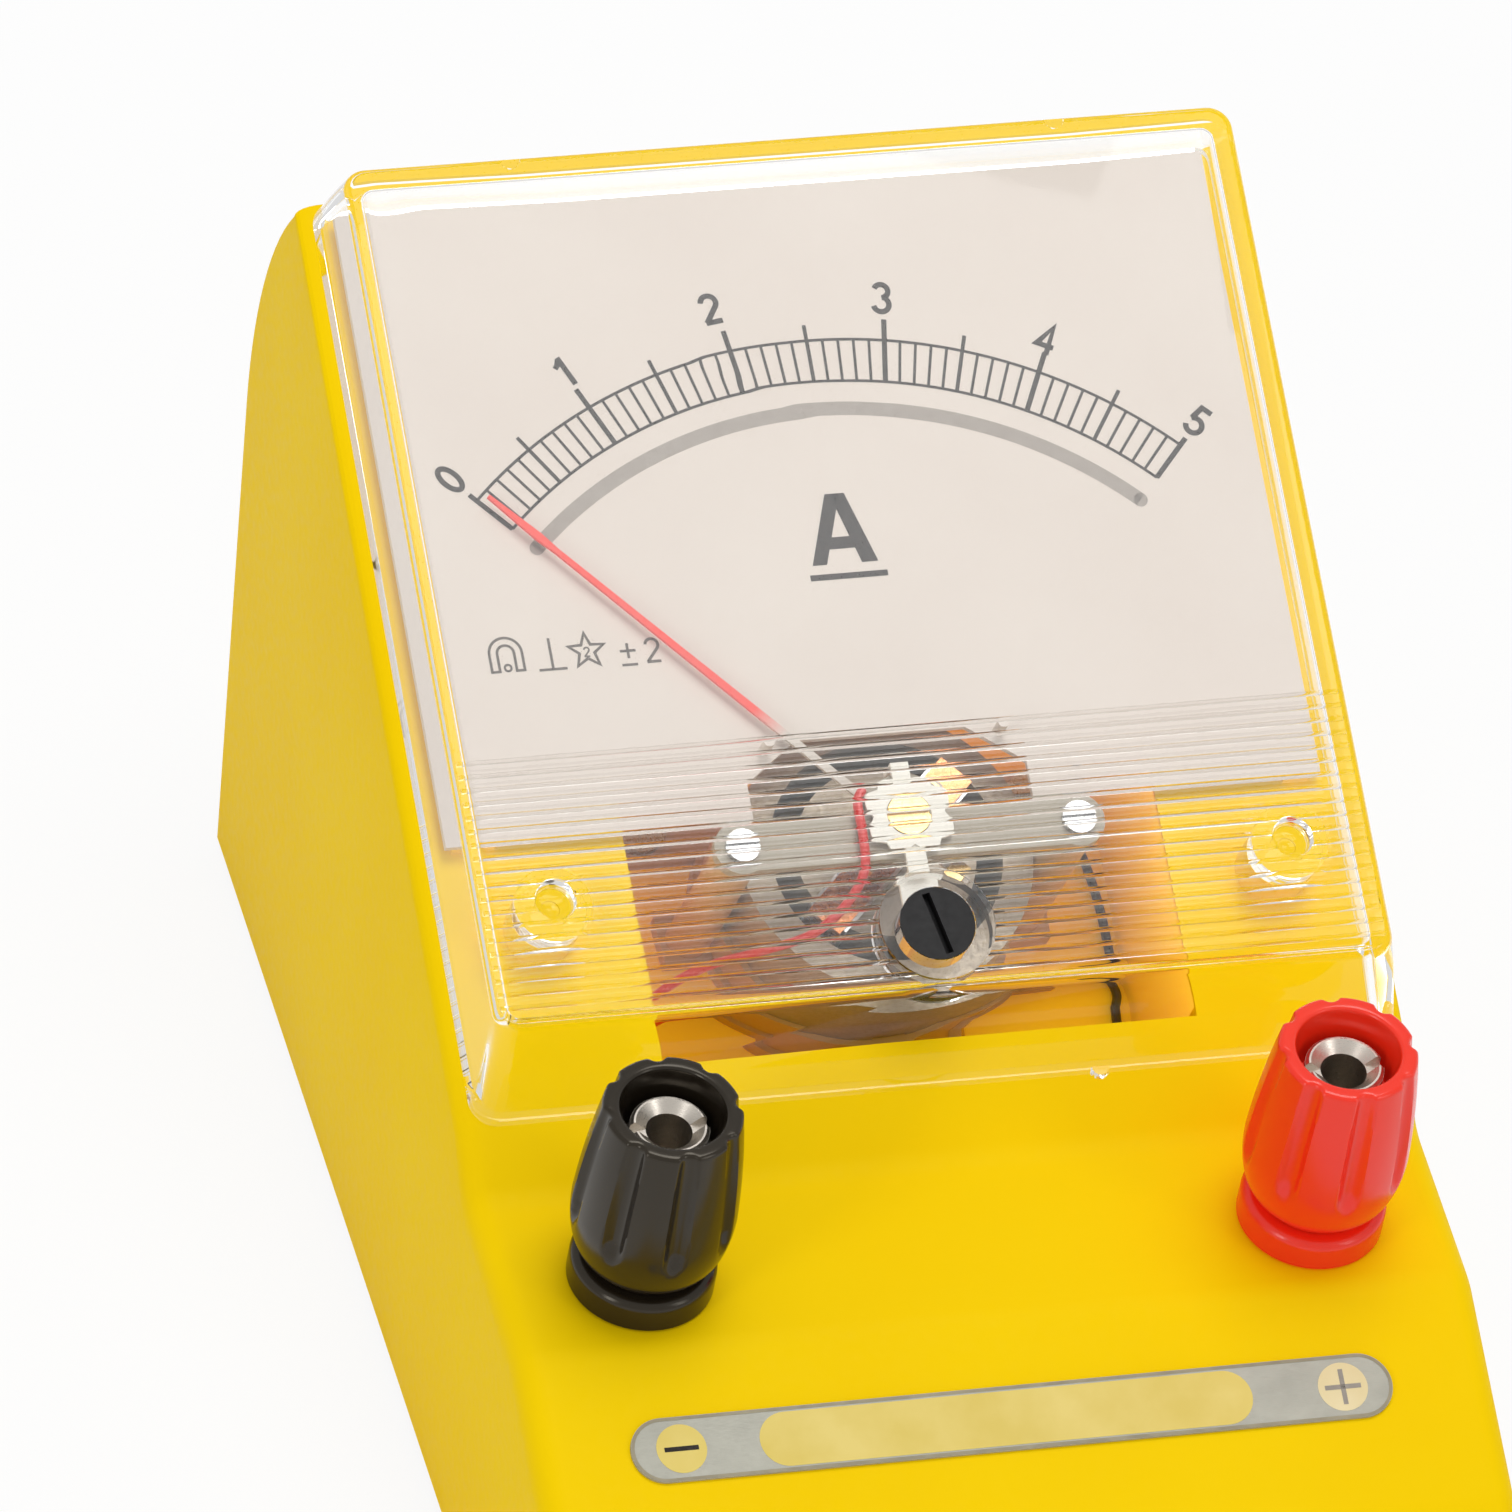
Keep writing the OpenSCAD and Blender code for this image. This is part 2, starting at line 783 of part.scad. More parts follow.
module top_bridge() {
    color("ivory")
    on_pivot(bridge_n0)
    difference() {
        union() {
            translate([0, post_s, bridge_t / 2])
                cube([2 * post_x, bridge_w, bridge_t], center = true);
            for (x = [-1, 1])
                translate([x * post_x, post_s, 0])
                    cylinder(r = bridge_w / 2 + 0.2, h = bridge_t);
            cylinder(r = bridge_boss_r, h = bridge_t);
        }
        translate([0, 0, -1])
            cylinder(r = jewel_r, h = bridge_t + 2);
        for (x = [-1, 1])
            translate([x * post_x, post_s, -1])
                cylinder(r = bridge_screw_r + 0.1 + seat_gap, h = bridge_t + 2);
    }
}

module bridge_screws() {
    color("silver")
    on_pivot(bridge_n0 + bridge_t)
    for (x = [-1, 1])
        translate([x * post_x, post_s, 0])
            difference() {
                union() {
                    cylinder(r = bridge_head_r, h = bridge_head_h);
                    translate([0, 0, -4])
                        cylinder(r = bridge_screw_r, h = 4 + eps);
                }
                translate([-bridge_head_r - 0.5, -0.2, bridge_head_h - 0.3])
                    cube([2 * bridge_head_r + 1, 0.4, 1]);
            }
}

module top_jewel_screw() {
    low = bridge_n0 - 0.25;
    color("goldenrod")
    on_pivot()
    difference() {
        union() {
            translate([0, 0, low])
                cylinder(r = jewel_r, h = lever_n - low);
            translate([0, 0, bridge_n0 + bridge_t])
                cylinder(r = jewel_head_r, h = jewel_top - bridge_n0 - bridge_t);
        }
        translate([0, 0, low - 1])
            cylinder(r = tip_r + jewel_gap, h = 1.8);
        translate([-3, -0.25, jewel_top - 0.4])
            cube([6, 0.5, 1]);
    }
}

module bottom_jewel_screw() {
    top = frame_top + 0.8;
    color("goldenrod")
    on_pivot()
    difference() {
        translate([0, 0, -well_deep + 0.1])
            cylinder(r = jewel_r, h = top + well_deep - 0.1);
        translate([0, 0, top - 0.8])
            cylinder(r = tip_r + jewel_gap, h = 2);
    }
}

module pointer_stops() {
    color("dimgray")
    on_pivot()
    for (turn = [-1, 1])
        rotate(turn * (stop_turn + stop_half))
            translate([0, stop_at, plate_n + plate_t])
                cylinder(r = stop_r, h = 2.2, $fn = 24);
}

stop_at = 13.5;         // from the pivot, on the plate beside its cut-out
stop_r = 0.5;
pointer_half = pointer_root - (pointer_root - pointer_neck) * stop_at / (pointer_len - lance);
stop_half = asin((stop_r + pointer_half + run_gap) / stop_at);

// ---- moving coil, drawn with the pointer straight up, then turned to zero ----

module moving(n = 0) {
    on_pivot(n)
        rotate(rest_turn)
            children();
}

module coil_frame(in_r, out_r, n0, n1, leg, w) {
    difference() {
        slab(2 * out_r, -w / 2, w / 2, n0, n1);
        slab(2 * in_r, -w, w, n0 + leg, n1 - leg);
    }
}

module coil_former() {
    color("lightgray")
    moving()
    difference() {
        coil_frame(coil_in, coil_in + former_t, coil_n0 + coil_leg - former_t,
                   coil_n1 - coil_leg + former_t, former_t, coil_w);
    }
}

module coil_winding() {
    color("chocolate")
    moving()
    difference() {
        slab(2 * coil_out, -coil_w / 2 + 0.3, coil_w / 2 - 0.3, coil_n0 + 0.2, coil_n1 - 0.2);
        slab(2 * (coil_in + former_t), -coil_w, coil_w,
             coil_n0 + coil_leg - former_t, coil_n1 - coil_leg + former_t);
    }
}

module pivot_staffs() {
    top_n = bridge_n0 + 0.3;
    low_n = frame_top + 0.4;
    color("gainsboro")
    moving() {
        translate([0, 0, coil_n1 - 0.2])
            cylinder(r = staff_r, h = pointer_n + 1.1 - coil_n1 + 0.2);
        translate([0, 0, pointer_n + 1])
            cylinder(r1 = 0.5, r2 = tip_r, h = 0.3);
        translate([0, 0, pointer_n + 1])
            cylinder(r = tip_r, h = top_n - pointer_n - 1);
        translate([0, 0, frame_top + 1.3])
            cylinder(r = staff_r, h = coil_n0 + 0.2 - frame_top - 1.3);
        translate([0, 0, low_n])
            cylinder(r = tip_r, h = 1);
    }
}

module pointer() {
    color("indianred")
    moving(pointer_n)
    difference() {
        union() {
            linear_extrude(pointer_t)
                polygon([[-pointer_root, 0], [-pointer_neck, pointer_len - lance],
                         [-0.36, pointer_len - lance * 0.75], [-0.16, pointer_len],
                         [0.16, pointer_len], [0.36, pointer_len - lance * 0.75],
                         [pointer_neck, pointer_len - lance], [pointer_root, 0]]);
            linear_extrude(pointer_t)
                for (turn = [90, 180, 270])
                    rotate(turn)
                        translate([-0.35, 0])
                            square([0.7, turn == 180 ? 7.4 : 5.6]);
            translate([0, 0, -0.3])
                cylinder(r = 1.5, h = 0.9);
        }
        translate([0, 0, -1])
            cylinder(r = staff_r, h = 3);
    }
}

module balance_weights() {
    color("goldenrod")
    moving(pointer_n + pointer_t / 2)
    for (turn = [90, 180, 270])
        rotate(turn)
            translate([0, turn == 180 ? 5.3 : 4.2, 0])
                difference() {
                    translate([0, turn == 180 ? 0.8 : 0.5, 0])
                        cube([turn == 180 ? 2 : 1.4, turn == 180 ? 1.6 : 1, 1], center = true);
                    cube([0.7, 8, pointer_t], center = true);
                }
}

// A flat spiral of strip, from the staff outwards
module hairspring(r_in, r_out, turns, strip, h) {
    steps = turns * 20;
    inner = [for (i = [0:steps])
        let (r = r_in + (r_out - r_in) * i / steps)
        (r - strip / 2) * [cos(360 * turns * i / steps), sin(360 * turns * i / steps)]];
    outer = [for (i = [steps:-1:0])
        let (r = r_in + (r_out - r_in) * i / steps)
        (r + strip / 2) * [cos(360 * turns * i / steps), sin(360 * turns * i / steps)]];
    linear_extrude(h)
        polygon(concat(inner, outer));
}

module spring_on_staff(hub_h) {
    tube(staff_r + 0.45, staff_r, hub_h);
    hairspring(staff_r + 0.35, spring_r, spring_turns, 0.14, hub_h);
}

module upper_hairspring() {
    color("peru")
    moving(pointer_n + 0.65)
        spring_on_staff(0.35);
}

module lower_hairspring() {
    color("peru")
    moving(frame_top + 1.9)
        spring_on_staff(0.35);
}

// ---- wiring under the ledge ----

shunt_w0 = -wall - washer_t - shunt_t;

module shunt_strip() {
    color("silver")
    translate([0, post_y, ledge_z])
        rotate([ledge_tilt, 0, 0])
            difference() {
                translate([-post_gap / 2 - 5, -4, shunt_w0])
                    cube([post_gap + 10, 8, shunt_t]);
                for (x = [-1, 1])
                    translate([x * post_gap / 2, 0, shunt_w0 - 1])
                        cylinder(r = stud_r + seat_gap, h = 3);
                // notch that trims the resistance of the strip
                translate([-6, 1.5, shunt_w0 - 1])
                    cube([12, 3, 3]);
            }
}

lead_r = 0.55;
red_near = 7.4;         // distance of a lead from the pivot, beside the bridge
black_near = 9.6;

// From the jewel bridge over the frame, out of the well, and down to the shunt
function on_face_point(x, s, n) =
    [x, foot_y + s * cos(face_tilt) - n * sin(face_tilt), foot_z + s * sin(face_tilt) + n * cos(face_tilt)];

function lead_route(side, near) = smooth_route([
    on_face_point(side * near, pivot_s + 3.4, 0.3),
    on_face_point(side * near, pivot_s, 0.6),
    on_face_point(side * (near + 0.6), pivot_s - 4.6, 0.6),
    on_face_point(side * (near + 3.4), pivot_s - 9.4, 0),
    on_face_point(side * (near + 8), pivot_s - 12.4, -5),
    on_face_point(side * 19.8, well_s0 + lead_in + 0.6, -12),
    on_face_point(side * lead_x, well_s0 + lead_in, -well_deep + 1),
    on_face_point(side * lead_x, well_s0 + lead_in, -well_deep - well_wall - 2),
    [side * lead_x, -15, foot_h + 15],
    [side * (lead_x + 1), -24, foot_h + 16],
    [side * (lead_x + 1.5), post_y + 4, ledge_z - 7],
    [side * (lead_x + 1.5), post_y + 1.5, ledge_z + shunt_w0 - lead_r + 0.1]]);

module red_lead() {
    color("red")
        wire(lead_route(-1, red_near), lead_r);
}

module black_lead() {
    color([0.12, 0.12, 0.12])
        wire(lead_route(1, black_near), lead_r);
}

module post_washers() {
    color("silver")
    for (side = [-1, 1])
        at_post(side)
            translate([0, 0, -wall - washer_t])
                tube(5.2, stud_r + seat_gap, washer_t);
}

module post_nuts() {
    color("silver")
    for (side = [-1, 1])
        at_post(side)
            for (k = [0, 1])
                translate([0, 0, shunt_w0 - (k + 1) * nut_h - k * 0.1])
                    difference() {
                        cylinder(r = 4.04, h = nut_h, $fn = 6);
                        translate([0, 0, -1])
                            cylinder(r = stud_r, h = nut_h + 2);
                    }
}

// ---- binding posts ----

module collar() {
    difference() {
        union() {
            rotate_extrude()
                polygon(concat(
                    [[0, 0]],
                    [[collar_r - 0.25, 0], [collar_r, 0.25]],
                    arc([collar_r - 0.9, collar_h - 0.9], 0.9, 0, 90, 8),
                    [[0, collar_h]]));
            translate([0, 0, -wall + 0.1])
                cylinder(r = spigot_r, h = wall);
        }
        translate([0, 0, -wall - 1])
            cylinder(r = stud_r, h = wall + 3);
        translate([0, 0, collar_h - stem_seat])
            cylinder(r = stem_r, h = stem_seat + 1);
    }
}

// Turned stem: socket with a lead-in, two driver notches, wire hole and stud
module stem() {
    low = collar_h - stem_seat;
    difference() {
        union() {
            translate([0, 0, low])
                cylinder(r = stem_r, h = stem_top - low - 0.3);
            translate([0, 0, stem_top - 0.3 - eps])
                cylinder(r1 = stem_r, r2 = stem_r - 0.3, h = 0.3);
            translate([0, 0, stud_low])
                cylinder(r = stud_r, h = low - stud_low + eps);
        }
        translate([0, 0, stem_top - socket_deep])
            cylinder(r = socket_d / 2, h = socket_deep + 1);
        translate([0, 0, stem_top - lead_in_h])
            cylinder(r1 = socket_d / 2, r2 = lead_in_r, h = lead_in_h + eps);
        translate([-stem_r - 1, -0.5, stem_top - lead_in_h])
            cube([2 * stem_r + 2, 1, 2]);
    }
}

module insert() {
    translate([0, 0, cap_low + insert_z])
        tube(insert_r, stem_r + thread_gap, insert_h);
}

// Fluted cap: swells from a narrow foot, then tapers to an open mouth
module cap() {
    wide = cap_d / 2;
    difference() {
        translate([0, 0, cap_low])
            rotate_extrude()
                polygon(concat(
                    [[0, 0], [cap_foot_r, 0]],
                    [for (i = [0:8])
                        let (t = 90 * i / 8)
                        [cap_foot_r + (wide - cap_foot_r) * sin(t), 0.5 + (wide_z - 0.5) * (1 - cos(t))]],
                    [for (i = [1:6])
                        let (t = i / 6)
                        [wide + (cap_top_r - wide) * (0.35 * t + 0.65 * t * t),
                         wide_z + (cap_h - wide_z - 0.5) * t]],
                    [[cap_top_r - 0.4, cap_h], [0, cap_h]]));
        for (k = [0:flutes - 1])
            rotate(360 * (k + 0.5) / flutes) {
                translate([wide + flute_out, 0, cap_low + wide_z])
                    rotate([0, -flute_lean, 0])
                        cylinder(r = flute_r, h = cap_h, $fn = 32);
                translate([wide + flute_out, 0, cap_low + wide_z])
                    sphere(r = flute_r, $fn = 32);
            }
        translate([0, 0, cap_low - 1])
            cylinder(r = stem_r + cap_gap, h = cap_h + 2);
        translate([0, 0, cap_low + insert_z])
            cylinder(r = insert_r, h = insert_h);
        translate([0, 0, cap_low + cap_h - mouth_h])
            cylinder(r1 = mouth_r - 0.9, r2 = mouth_r, h = mouth_h + eps);
    }
}

flute_lean = atan((cap_d / 2 - cap_top_r) / (cap_h - wide_z));

module black_collar() {
    color([0.13, 0.13, 0.14])
        at_post(-1) collar();
}

module black_stem() {
    color("lightgray")
        at_post(-1) stem();
}

module black_insert() {
    color("goldenrod")
        at_post(-1) insert();
}

module black_cap() {
    color([0.13, 0.13, 0.14])
        at_post(-1) cap();
}

module red_collar() {
    color("orangered")
        at_post(1) collar();
}

module red_stem() {
    color("lightgray")
        at_post(1) stem();
}

module red_insert() {
    color("goldenrod")
        at_post(1) insert();
}

module red_cap() {
    color("orangered")
        at_post(1) cap();
}

case();
base_plate();
rubber_feet();
base_screws();
label_strip();
window_cover();
zero_adjuster();
zero_lever();
scale_plate();
movement_frame();
frame_screws();
iron_yoke();
core_magnet();
core_strap();
top_bridge();
bridge_screws();
top_jewel_screw();
bottom_jewel_screw();
pointer_stops();
coil_former();
coil_winding();
pivot_staffs();
pointer();
balance_weights();
upper_hairspring();
lower_hairspring();
shunt_strip();
red_lead();
black_lead();
post_washers();
post_nuts();
black_collar();
black_stem();
black_insert();
black_cap();
red_collar();
red_stem();
red_insert();
red_cap();
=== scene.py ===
import bpy, bmesh, json
from math import atan2, cos, degrees, hypot, pi, radians, sin, sqrt
from mathutils import Matrix, Vector


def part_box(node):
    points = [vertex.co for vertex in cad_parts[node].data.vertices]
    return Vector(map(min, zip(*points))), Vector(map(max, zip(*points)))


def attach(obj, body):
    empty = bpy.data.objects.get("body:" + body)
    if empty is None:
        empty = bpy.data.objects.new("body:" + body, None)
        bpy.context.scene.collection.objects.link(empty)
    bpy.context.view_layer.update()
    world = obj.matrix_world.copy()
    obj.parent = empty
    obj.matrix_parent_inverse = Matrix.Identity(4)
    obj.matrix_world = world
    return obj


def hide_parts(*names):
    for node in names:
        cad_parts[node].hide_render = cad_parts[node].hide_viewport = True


# A bench ammeter: finishes, print, clear cover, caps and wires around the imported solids.
# The scene is in metres; each local frame below is in millimetres.

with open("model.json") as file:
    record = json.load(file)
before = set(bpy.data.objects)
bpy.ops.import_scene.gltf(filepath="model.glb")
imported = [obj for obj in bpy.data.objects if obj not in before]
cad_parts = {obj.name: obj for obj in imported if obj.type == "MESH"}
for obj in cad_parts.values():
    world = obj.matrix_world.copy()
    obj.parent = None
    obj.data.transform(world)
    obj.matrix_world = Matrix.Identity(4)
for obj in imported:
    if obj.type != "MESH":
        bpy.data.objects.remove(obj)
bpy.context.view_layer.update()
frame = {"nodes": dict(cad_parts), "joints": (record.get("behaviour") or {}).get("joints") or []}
nodes = frame["nodes"]
joints = {j["name"]: j for j in frame["joints"]}
MM = 0.001
X = Vector((1, 0, 0))

PIVOT_S = 23.0          # the pivot, up the slope from the foot of the sloping face
PIVOT_DEPTH = 5.0       # the swing joint's point, behind that face
TURN_HEIGHT = 8.0       # a cap's turning joint, above the ledge
LABEL_FALL = 24.0       # slope of the label's face, in degrees
LABEL_HALF_T = 0.15     # half the thickness of the label strip


# ---------- local frames, in millimetres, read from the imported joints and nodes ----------

def basis(x, y, z, origin):
    m = Matrix((x, y, z)).transposed().to_4x4()
    m.translation = origin
    return m @ Matrix.Scale(MM, 4)


# FACE: x across, s up the slope from the foot of the sloping face, n out of it
swing = joints["pointer_swing"]
out = -Vector(swing["axis"]).normalized()
slope = out.cross(X)
FACE = basis(X, slope, out, Vector(swing["pos_m"]) + (PIVOT_DEPTH * out - PIVOT_S * slope) * MM)

# LABEL: from the middle of the label strip's top
label_lo, label_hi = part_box("label_strip")
fall = radians(LABEL_FALL)
label_out = Vector((0, -sin(fall), cos(fall)))
LABEL = basis(X, Vector((0, cos(fall), sin(fall))), label_out,
              (label_lo + label_hi) / 2 + label_out * LABEL_HALF_T * MM)


def post_frame(side):
    """A post's frame: from the ledge up along its stem."""
    turn = joints[side + "_cap_turn"]
    up = Vector(turn["axis"]).normalized()
    return basis(X, up.cross(X), up, Vector(turn["pos_m"]) - up * TURN_HEIGHT * MM)


def extent(node, place):
    """The lowest and the highest corner of a node, in a local frame."""
    inv = place.inverted()
    co = [inv @ v.co for v in nodes[node].data.vertices]
    return [Vector([pick(c[i] for c in co) for i in range(3)]) for pick in (min, max)]


# ---------- materials ----------

def srgb(r, g, b):
    return tuple(c / 255 / 12.92 if c < 10.3 else ((c / 255 + 0.055) / 1.055) ** 2.4
                 for c in (r, g, b))


def math_node(tree, kind, *values):
    """A math node on numbers and other nodes' outputs; returns its output."""
    n = tree.nodes.new("ShaderNodeMath")
    n.operation = kind
    for slot, v in enumerate(values):
        if isinstance(v, (int, float)):
            n.inputs[slot].default_value = v
        else:
            tree.links.new(v, n.inputs[slot])
    return n.outputs[0]


class Mat:
    """A material around one Principled shader."""

    def __init__(self, name, color, rough, **sockets):
        self.m = bpy.data.materials.new(name)
        self.m.use_nodes = True
        self.t = self.m.node_tree
        self.b = self.t.nodes["Principled BSDF"]
        self.put("Base Color", (*color, 1))
        self.put("Roughness", rough)
        for k, v in sockets.items():
            self.put(k.replace("_", " "), v)

    def put(self, key, value):
        self.b.inputs[key].default_value = value

    def node(self, kind, **inputs):
        n = self.t.nodes.new(kind)
        for k, v in inputs.items():
            if k in n.inputs:
                n.inputs[k].default_value = v
            else:
                setattr(n, k, v)
        return n

    def link(self, a, out_name, b, in_name):
        self.t.links.new(a.outputs[out_name], b.inputs[in_name])

    def noise(self, scale, detail=3.0, rough=0.5, stretch=(1, 1, 1)):
        place = self.node("ShaderNodeMapping")
        place.inputs["Scale"].default_value = stretch
        self.link(self.node("ShaderNodeTexCoord"), "Object", place, "Vector")
        n = self.node("ShaderNodeTexNoise", Scale=scale, Detail=detail, Roughness=rough)
        self.link(place, "Vector", n, "Vector")
        return n

    def ramp(self, source, low, high, span):
        """Noise to colour: low below the span, high above it."""
        r = self.node("ShaderNodeValToRGB")
        for stop, position, color in zip(r.color_ramp.elements, span, (low, high)):
            stop.position, stop.color = position, (*color, 1)
        self.link(source, "Fac", r, "Fac")
        return r

    def tint(self, source, low, high, span=(0.3, 0.7)):
        self.link(self.ramp(source, low, high, span), "Color", self.b, "Base Color")

    def gloss(self, source, low, high, span=(0.3, 0.7)):
        self.link(self.ramp(source, (low,) * 3, (high,) * 3, span), "Color", self.b, "Roughness")

    def bump(self, source, strength, dist, before=None):
        n = self.node("ShaderNodeBump", Strength=strength, Distance=dist)
        self.link(source, "Fac", n, "Height")
        if before:
            self.link(before, "Normal", n, "Normal")
        self.link(n, "Normal", self.b, "Normal")
        return n

    def swap(self, share, other):
        """Another shader in place of the Principled one, by a share."""
        mix = self.node("ShaderNodeMixShader")
        self.t.links.new(share, mix.inputs[0])
        self.t.links.new(self.b.outputs[0], mix.inputs[1])
        self.t.links.new(other.outputs[0], mix.inputs[2])
        self.t.links.new(mix.outputs[0], self.t.nodes["Material Output"].inputs["Surface"])


def plastic(name, color, dark, rough, grain=900, bump=0.05, **sockets):
    """Moulded plastic; the colours are sRGB."""
    m = Mat(name, srgb(*color), rough, **sockets)
    m.tint(m.noise(38, 4), srgb(*dark), srgb(*color))
    m.gloss(m.noise(grain, 5, 0.6), rough * 0.85, min(1, rough * 1.2))
    waves = m.bump(m.noise(160, 2), bump * 2, 0.00005)
    m.bump(m.noise(grain * 1.7, 2), bump, 0.00002, waves)
    return m


def metal(name, color, rough, stretch=(1, 1, 1), grain=2500, metallic=1.0):
    m = Mat(name, color, rough, Metallic=metallic)
    n = m.noise(grain, 4, 0.7, stretch)
    m.gloss(n, rough * 0.7, min(1, rough * 1.5))
    m.tint(m.noise(300, 3), tuple(c * 0.86 for c in color), color)
    m.bump(n, 0.08, 0.00002)
    return m


def coat(name, color, low, high, grain, rough=0.6, spec=0.2, span=(0.3, 0.7)):
    """Print or paint that drifts between two sRGB colours, over noise of a grain."""
    m = Mat(name, srgb(*color), rough, Specular_IOR_Level=spec)
    m.tint(m.noise(*grain), srgb(*low), srgb(*high), span)
    return m


def clear_plastic(name):
    """Clear moulding. Shadow and diffuse rays pass it, and so do rays caught in its walls."""
    caught = 4.5        # bounces after which a ray is let through
    m = Mat(name, (1.0, 1.0, 0.995), 0.02, Transmission_Weight=1.0, IOR=1.46,
            Specular_Tint=(0.42, 0.42, 0.42, 1))
    m.bump(m.noise(45, 2), 0.1, 0.0001)
    path = m.node("ShaderNodeLightPath").outputs
    passes = math_node(m.t, "MAXIMUM", path["Is Shadow Ray"], path["Is Diffuse Ray"])
    deep = math_node(m.t, "GREATER_THAN", path["Ray Depth"], caught)
    m.swap(math_node(m.t, "MAXIMUM", passes, deep), m.node("ShaderNodeBsdfTransparent"))
    return m


# the well in the face: half its width, its middle and half its length up the slope,
# where the painted glow starts below the face, and its depth
WELL_X, WELL_S, WELL_HALF, WELL_LIP, WELL_DEPTH = 24.2, 26.6, 20.6, -0.4, 19.0


def glow_in_well(m, warm, deep, shallow):
    """Painted light: the case glows inside the well, standing in for light bounced around in it;
    stronger towards its mouth.
    """
    face_tilt = atan2(out.z, -out.y) - pi / 2
    place = m.node("ShaderNodeMapping", vector_type="TEXTURE")
    place.inputs["Location"].default_value = FACE.translation
    place.inputs["Rotation"].default_value = (-face_tilt, 0, 0)
    place.inputs["Scale"].default_value = (MM, MM, MM)
    m.link(m.node("ShaderNodeTexCoord"), "Object", place, "Vector")
    xyz = m.node("ShaderNodeSeparateXYZ")
    m.link(place, "Vector", xyz, "Vector")
    x, s, n = (xyz.outputs[k] for k in "XYZ")

    def op(kind, *values):
        return math_node(m.t, kind, *values)

    across = op("LESS_THAN", op("ABSOLUTE", x), WELL_X)
    along = op("LESS_THAN", op("ABSOLUTE", op("SUBTRACT", s, WELL_S)), WELL_HALF)
    inside = op("MULTIPLY", op("MULTIPLY", across, op("LESS_THAN", n, WELL_LIP)), along)
    rise = op("MULTIPLY", op("ADD", n, WELL_DEPTH), (shallow - deep) / WELL_DEPTH)
    # strength of the painted glow: only inside the well, rising towards its mouth
    m.t.links.new(op("MULTIPLY", inside, op("ADD", rise, deep)), m.b.inputs["Emission Strength"])
    m.put("Emission Color", (*warm, 1))


def bare_near_hub(m, bare, painted_from, bare_to):
    """The paint stops short of the hub; radii in millimetres from the pivot."""
    away = m.node("ShaderNodeVectorMath", operation="DISTANCE")
    m.t.links.new(m.node("ShaderNodeTexCoord").outputs["Object"], away.inputs[0])
    away.inputs[1].default_value = FACE @ Vector((0, PIVOT_S, 0))
    reach = m.node("ShaderNodeMapRange")
    reach.inputs["From Min"].default_value = bare_to * MM
    reach.inputs["From Max"].default_value = painted_from * MM
    m.t.links.new(away.outputs["Value"], reach.inputs["Value"])
    mix = m.node("ShaderNodeMix", data_type="RGBA")
    color_a, color_b, blend = mix.inputs[6], mix.inputs[7], mix.outputs[2]
    m.t.links.new(reach.outputs["Result"], mix.inputs["Factor"])
    color_a.default_value = (*bare, 1)
    m.t.links.new(m.b.inputs["Base Color"].links[0].from_socket, color_b)
    m.t.links.new(blend, m.b.inputs["Base Color"])


yellow = plastic("case_yellow", (255, 215, 2), (253, 210, 0), 0.5, 1100, 0.05,
                 Specular_IOR_Level=0.04)
# painted bounce light: the case's yellow glows by emission inside the well
glow_in_well(yellow, warm=(1.0, 0.5, 0.06), deep=0.1, shallow=0.5)
black = plastic("black_plastic", (38, 31, 22), (28, 23, 17), 0.2, 700, 0.04,
                Specular_IOR_Level=0.45, Specular_Tint=(1.0, 0.92, 0.78, 1))
knob = plastic("knob_black", (34, 33, 33), (25, 24, 25), 0.42, 1500, 0.12,
               Specular_IOR_Level=0.2)
red = plastic("red_plastic", (255, 56, 28), (252, 46, 22), 0.22, 700, 0.04,
              Subsurface_Weight=0.12, Subsurface_Scale=0.002)
frame_tan = plastic("frame_tan", (196, 160, 104), (184, 148, 92), 0.5, 1200, 0.08)
ivory = plastic("ivory_plastic", (240, 236, 224), (232, 226, 212), 0.45, 1200, 0.08)
bridge_grey = plastic("bridge_grey", (168, 158, 140), (156, 146, 128), 0.5, 1200, 0.08)
rubber = plastic("rubber", (40, 40, 40), (30, 30, 30), 0.75, 1400, 0.3)
red_wire = plastic("red_wire", (214, 40, 34), (200, 30, 26), 0.35)
black_wire = plastic("black_wire", (30, 30, 30), (22, 22, 22), 0.35)
clear = clear_plastic("clear")

nickel = metal("nickel", (0.74, 0.68, 0.6), 0.3, (1, 1, 12))
steel = metal("steel", (0.52, 0.52, 0.52), 0.24)
iron = metal("iron", (0.4, 0.34, 0.26), 0.55, metallic=0.7)
brass = metal("brass", (0.72, 0.5, 0.2), 0.22)
copper = metal("copper", (0.7, 0.28, 0.12), 0.26)
alu = metal("aluminium", (0.72, 0.72, 0.72), 0.3)
label_silver = metal("label_silver", (0.45, 0.44, 0.37), 0.5, (1, 30, 1), 1500, metallic=0.3)

paper = coat("scale_white", (219, 207, 196), (217, 205, 194), (221, 210, 199), (55, 3))
paper.bump(paper.noise(900, 3, 0.6), 0.03, 0.00001)
ink = coat("ink", (48, 42, 38), (40, 35, 32), (66, 58, 53), (1800, 4, 0.7), span=(0.45, 0.75))
fine_ink = coat("fine_ink", (92, 84, 78), (80, 73, 68), (106, 97, 90), (1800, 4, 0.7))
band_grey = coat("band_grey", (158, 148, 139), (154, 144, 135), (165, 156, 147), (900, 4, 0.7))
pointer_red = coat("pointer_red", (240, 72, 62), (244, 66, 56), (236, 84, 76), (300, 3), 0.5)
bare_near_hub(pointer_red, srgb(206, 196, 184), painted_from=16.5, bare_to=13.0)
label_yellow = coat("label_yellow", (232, 208, 110), (228, 203, 102), (237, 214, 122),
                    (220, 4), 0.5, 0.25)
label_pale = coat("label_pale", (236, 219, 168), (232, 213, 160), (241, 225, 178),
                  (220, 4), 0.5, 0.25)
label_edge = coat("label_edge", (150, 140, 110), (140, 130, 104), (160, 150, 122),
                  (500, 3), 0.45, 0.5)
